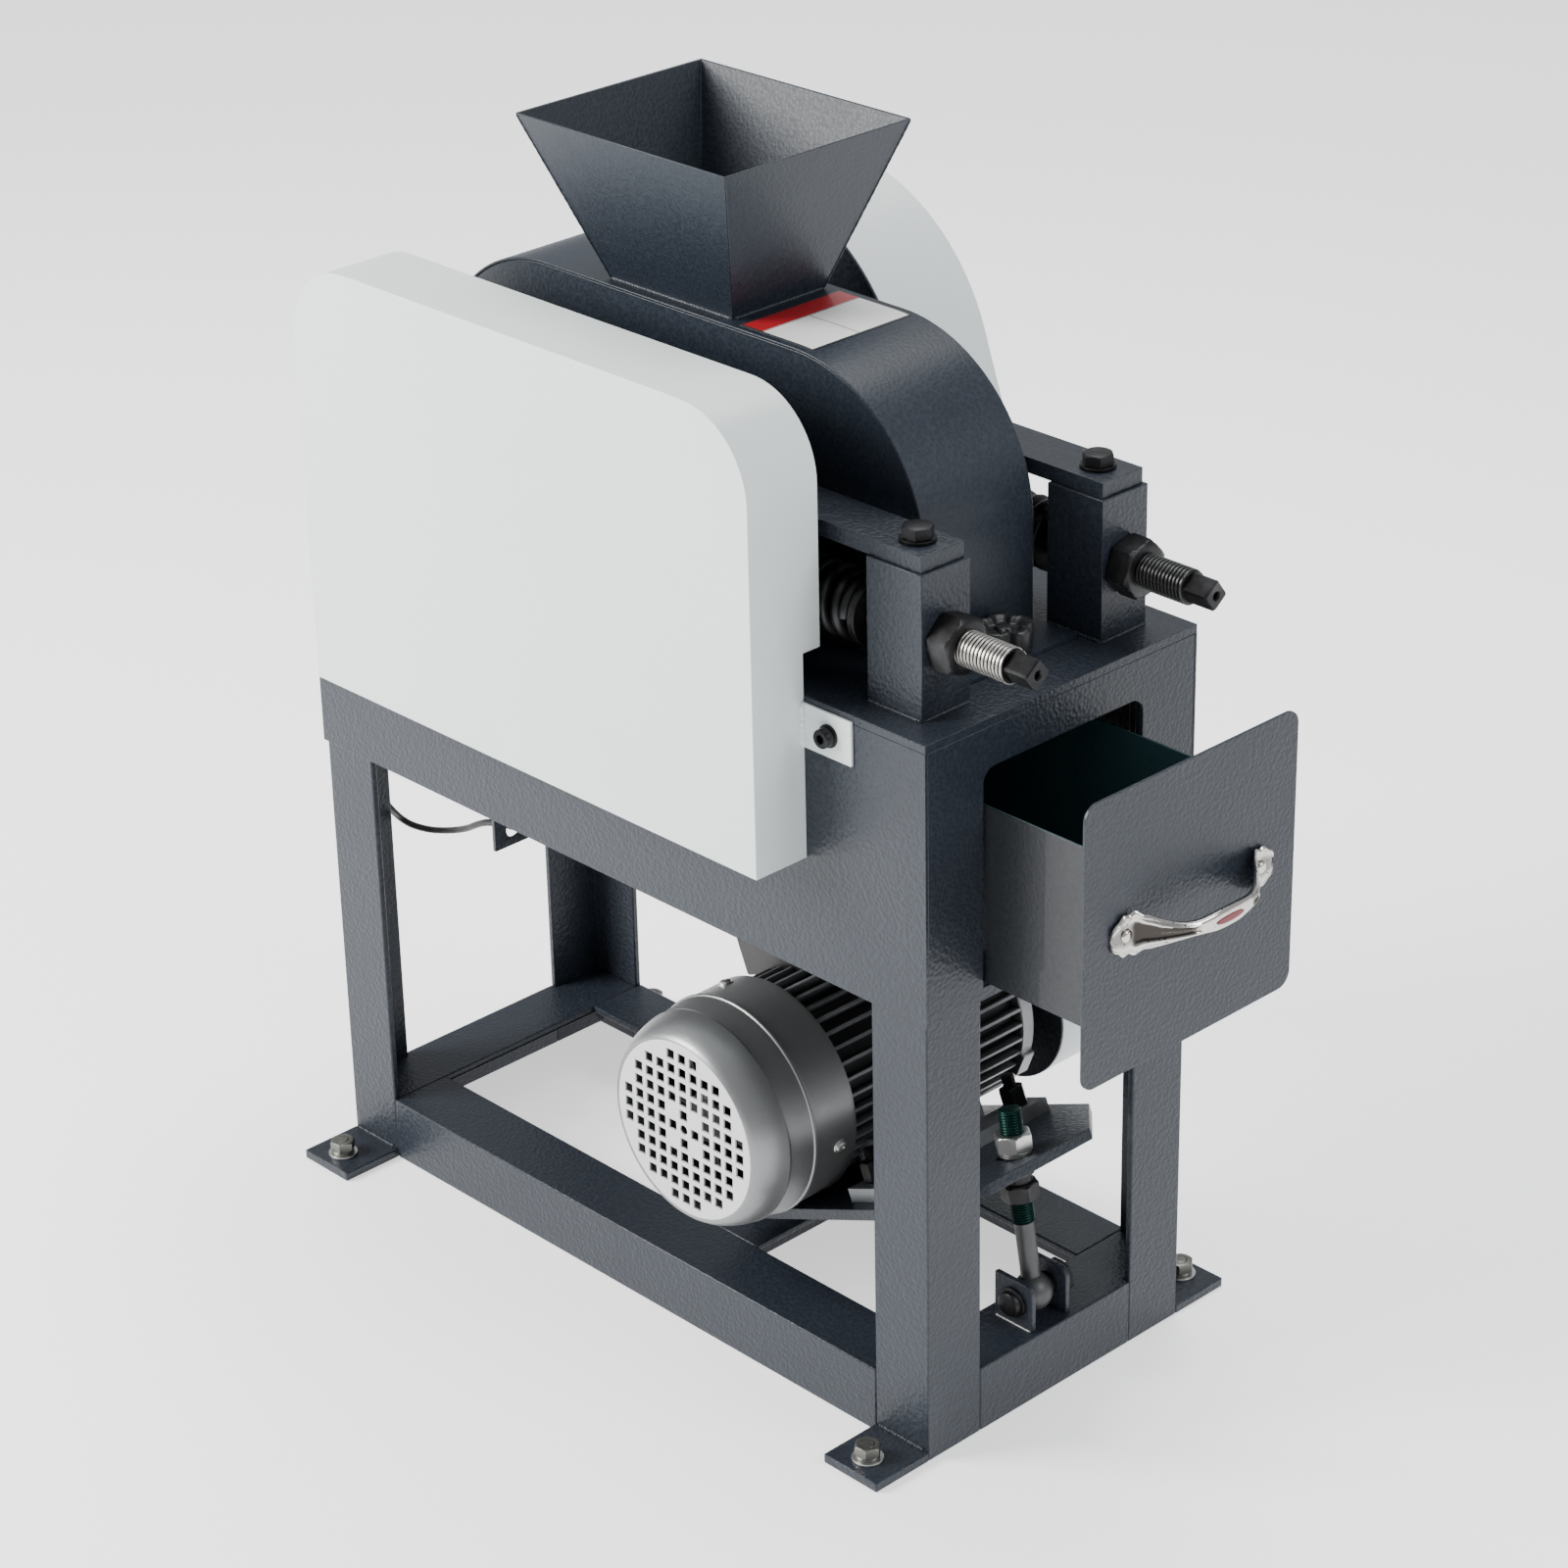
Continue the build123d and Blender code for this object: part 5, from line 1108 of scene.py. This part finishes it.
# ---- Terminal box: a black moulding with a screwed lid and a compression gland, from
# which the lead leaves through a tapered rubber sleeve.
def soft_box(half_x, half_y, corner, levels, sides=64):
    """A box with rounded corners; each level is (inset, height): the outline shrinks by the inset."""
    a = np.linspace(0, 2 * np.pi, sides, endpoint=False) + np.pi / sides
    rows = []
    for inset, height in levels:
        r = max(corner - inset, 0.0002)
        cx, cy = (half_x - corner) * np.sign(np.cos(a)), (half_y - corner) * np.sign(np.sin(a))
        rows.append(np.stack([cx + r * np.cos(a), cy + r * np.sin(a), np.full_like(a, height)], 1))
    return capped(np.stack(rows))


BOX_U, BOX_W, BOX_H, BOX_MID_Y = 0.1035, 0.1617, 0.042, 0.005
walls = soft_box(0.0447, 0.0397, 0.007, [(0.001, 0), (0, 0.001), (0, 0.0295), (0.0012, 0.030),
                                         (0.0012, 0.0308), (-0.0002, 0.0312),
                                         (-0.0002, 0.039), (0.0012, 0.0412), (0.0040, 0.0419)])
box_sheets = [(stand(walls, on_plate(BOX_U, BOX_MID_Y, BOX_W), OFF_PLATE, UP_SLOPE), False, True)]
for su in (-1, 1):
    for sy in (-1, 1):
        pan = turned([(0.0034, -0.001), (0.0034, 0.0006), (0.0028, 0.0016), (0.0010, 0.0019),
                      (0.0007, 0.0012), (0, 0.0012)], 20)
        box_sheets.append((stand(capped(pan), on_plate(BOX_U + su * 0.036, BOX_MID_Y + sy * 0.031,
                                                       BOX_W + BOX_H - 0.0001),
                                 OFF_PLATE, UP_SLOPE), False, True))
down_slope = tuple(-v for v in UP_SLOPE)
gland_profile = [(0.0062, 0), (0.0085, 0), (0.0088, 0.0005), (0.0088, 0.0035), (0.0070, 0.0038),
                 (0.0070, 0.0045),
                 (0.0078, 0.0050), (0.0078, 0.0085), (0.0066, 0.0105), (0.0052, 0.0117), (0.0036, 0.0120),
                 (0.0036, 0.004)]
box_sheets.append((stand(turned(gland_profile), on_plate(0.0590, 0, 0.196), down_slope), True, True))
box_sheets.append((stand(hexagonal(0.0165, 0.0045, 0.0064), on_plate(0.0550, 0, 0.196), down_slope), True,
                   True))
wear(surface("terminal_housing", *box_sheets), black_plastic, "motor_unit", "black_plastic", "terminal_box")
sleeve_profile = [(0.00262, 0), (0.0045, 0), (0.0044, 0.010), (0.0040, 0.018), (0.0034, 0.026),
                  (0.0030, 0.0305), (0.00262, 0.031)]
sleeve = surface("lead_sleeve", (stand(turned(sleeve_profile, 32), on_plate(0.0500, 0, 0.196), down_slope),
                                 True, True))
wear(sleeve, rubber, "motor_unit", "rubber")


# ---- Motor plate, hinge and tensioner: an 8 mm plate pinned at its low edge and held up
# by an eye bolt whose two nuts clamp its slotted tongue.
wear(eased("motor_plate", 0.0010), slate_paint, "motor_unit", "frame_paint", "motor_plate")
wear(eased("eye_bracket", 0.0006), slate_paint, "base", "frame_paint", "eye_bracket")
lug_weld = [((0.267, sy * 0.0193, 0.0503), (0.300, sy * 0.0193, 0.0503)) for sy in (-1, 1)]


def bare_edge(place):
    grain = noise(place, 500.0)
    return {"Base_Color": grain.mix((0.20, 0.20, 0.20), (0.42, 0.42, 0.41)), "Roughness": grain * 0.3 + 0.3,
            "Normal": raised(grain, 0.00008)}


weld_bead("lug_weld_bright", lug_weld, 0.0009, material=finish("bare_weld", bare_edge, Metallic=0.8),
          ripple=0.0035)

pads = []
for su in (-1, 1):
    for sy in (-1, 1):
        at = (0.1035 + su * 0.076, sy * 0.068)
        pads += [(stand(hexagonal(0.0168, 0.0148, 0.0050), on_plate(*at, 0.0223), OFF_PLATE,
                        (0, math.cos(su + sy), 0.3)), True, True),
                 (stand(capped(threaded(0.0049, 0.0235, 0.0015)), on_plate(*at, 0.0223), OFF_PLATE), False,
                  True),
                 (stand(hexagonal(0.0168, 0.0066, face=False), on_plate(*at, 0.0041),
                        tuple(-v for v in OFF_PLATE)), False, True)]
wear(surface("foot_bolts_shape", *pads), oxide, "motor_unit", "black_oxide", "motor_foot_bolts")

pins = [(stand(rod(0.006, 0.0926), (HINGE[0], -0.0443, HINGE[1]), (0, 1, 0)), False, True),
        (stand(rod(0.0088, 0.0038), (HINGE[0], -0.0482, HINGE[1]), (0, 1, 0)), False, True)]
EYE = (0.284, 0.0, 0.068)
pin_head = turned([(0, 0), (0.0078, 0), (0.0088, 0.0006), (0.0092, 0.0016), (0.0092, 0.0040),
                   (0.0110, 0.0044), (0.0112, 0.0050),
                   (0.0112, 0.0066), (0.0108, 0.0070), (0, 0.0070)])
pins += [(stand(pin_head, (EYE[0], -0.026, EYE[2]), (0, 1, 0)), False, True),
         (stand(rod(0.008, 0.038), (EYE[0], -0.019, EYE[2]), (0, 1, 0)), False, True),
         (stand(capped(threaded(0.0079, 0.0138, 0.002)), (EYE[0], 0.019, EYE[2]), (0, 1, 0)), False, True),
         (stand(turned([(0.0082, 0), (0.0117, 0), (0.012, 0.0003), (0.012, 0.0017), (0.0117, 0.002),
                        (0.0082, 0.002)]),
                (EYE[0], 0.0191, EYE[2]), (0, 1, 0)), True, True),
         (stand(hexagonal(0.0236, 0.0078, 0.0080), (EYE[0], 0.0211, EYE[2]), (0, 1, 0), (0.9, 0, 0.4)),
          True, True)]
wear(surface("pins_shape", *pins), oxide, "base", "zinc_plated", "pivot_pins")


def dark_bar(place):
    skin = noise(place, 300.0, 4.0)
    return {"Base_Color": noise(place, 40.0).mix((0.050, 0.052, 0.055), (0.085, 0.086, 0.088)),
            "Roughness": skin * 0.25 + 0.32,
            "Normal": raised(skin, 0.00005)}


def green_zinc(place):
    film = noise(place, 260.0)
    return {"Base_Color": film.mix((0.004, 0.018, 0.016), (0.008, 0.055, 0.045)),
            "Roughness": film * 0.25 + 0.22,
            "Normal": raised(film, 0.00003)}


SEAT = on_plate(0.243, 0, 0.0082)
lean_axis = unit(np.array(SEAT) - np.array(EYE))
t = np.linspace(-np.pi / 2, np.pi / 2 - 0.52, 22)
ball = [(0.0139 * math.cos(v), 0.0139 * math.sin(v)) for v in t]
ball = [(r, min(z, 0.0139)) for r, z in ball] + [(0.0072, 0.0135), (0.0070, 0.018), (0.0070, 0.053)]
ball_grid = turned(ball, 64)
ball_grid[:, :, 1] = np.clip(ball_grid[:, :, 1], -0.0098, 0.0098)
eye_piece = surface("eye_rod", (stand(capped(ball_grid), EYE, lean_axis), False, True), crease=30)
wear(eye_piece, finish("dark_bar_steel", dark_bar, Metallic=0.55), "eye_bolt_body", "zinc_plated", "eye_bolt")
screw = threaded(0.008, 0.084, 0.002)
thread_piece = surface("eye_thread", (stand(capped(screw), np.array(EYE) + lean_axis * 0.0528, lean_axis),
                                      False, True), crease=40)
wear(thread_piece, finish("green_passivated", green_zinc, Metallic=0.7), "eye_bolt_body", "zinc_plated")

cone = [(0.00806, 0), (0.0087, 0), (0.0119, 0.0016), (0.0119, 0.0038), (0.0116, 0.0040), (0.00806, 0.0040)]
upper = [(stand(turned(cone), np.array(SEAT) + lean_axis * 0.0051, lean_axis), True, True),
         (stand(hexagonal(0.0237, 0.0128, 0.00806), np.array(SEAT) + lean_axis * 0.0092, lean_axis,
                (0.6, 0.8, 0)), True, True)]
cone = [(0.00806, 0), (0.0087, 0), (0.0119, 0.0016), (0.0119, 0.0030), (0.0098, 0.0040), (0.0098, 0.0088),
        (0.0119, 0.0094),
        (0.0119, 0.0096), (0.00806, 0.0096)]
lower = [(stand(turned(cone), np.array(SEAT) - lean_axis * 0.0051, -lean_axis), True, True),
         (stand(hexagonal(0.0237, 0.0128, 0.00806), np.array(SEAT) - lean_axis * 0.0148, -lean_axis,
                (0.3, 0.9, 0)), True, True)]
wear(surface("upper_nut", *upper), bright_zinc, "tension_nuts", "zinc_plated", "eye_bolt_nuts")
wear(surface("lower_nut", *lower), oxide, "tension_nuts", "zinc_plated")


# ---- Switch box on the back: a black moulding with two round push buttons and a gland.
low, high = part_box("switch_box")
BOX_BASE = 0.380
half_y, half_z = (high.y - low.y) / 2, (high.z - BOX_BASE) / 2
case = soft_box(half_z, half_y, 0.006, [(0.001, 0), (0, 0.001), (0, 0.0270), (0.0010, 0.0275),
                                        (0.0010, 0.0283), (0, 0.0287),
                                        (0, 0.0365), (0.0015, 0.0392), (0.0045, 0.0399)])
centre = (high.x - 0.0001, (low.y + high.y) / 2, BOX_BASE + half_z)
switch_sheets = [(stand(case, centre, (-1, 0, 0), (0, 0, 1)), False, True),
                 (stand(turned([(0.0036, 0), (0.0036, 0.0118), (0.0066, 0.0118), (0.0070, 0.0112),
                                (0.0070, 0.0005), (0.0066, 0)]),
                        (-0.330, -0.070, BOX_BASE - 0.0120), (0, 0, 1)), True, True)]
wear(surface("switch_case", *switch_sheets), black_plastic, "base", "black_plastic", "switch_box")


def button_red(place):
    return {"Roughness": noise(place, 400.0) * 0.1 + 0.25}


for tag, rise, colour in (("stop", -0.022, (0.30, 0.012, 0.012, 1)),
                          ("start", 0.022, (0.012, 0.16, 0.045, 1))):
    cap = turned([(0, 0), (0.0112, 0), (0.0115, 0.0004), (0.0115, 0.0030), (0.0095, 0.0032),
                  (0.0093, 0.0040), (0.0080, 0.0048), (0, 0.0050)])
    place = (low.x + 0.0048, (low.y + high.y) / 2, BOX_BASE + half_z + rise)
    cap_piece = surface("button_" + tag, (stand(cap, place, (-1, 0, 0)), False, True))
    wear(cap_piece, finish(tag + "_button", button_red, Base_Color=colour), "base", "black_plastic")
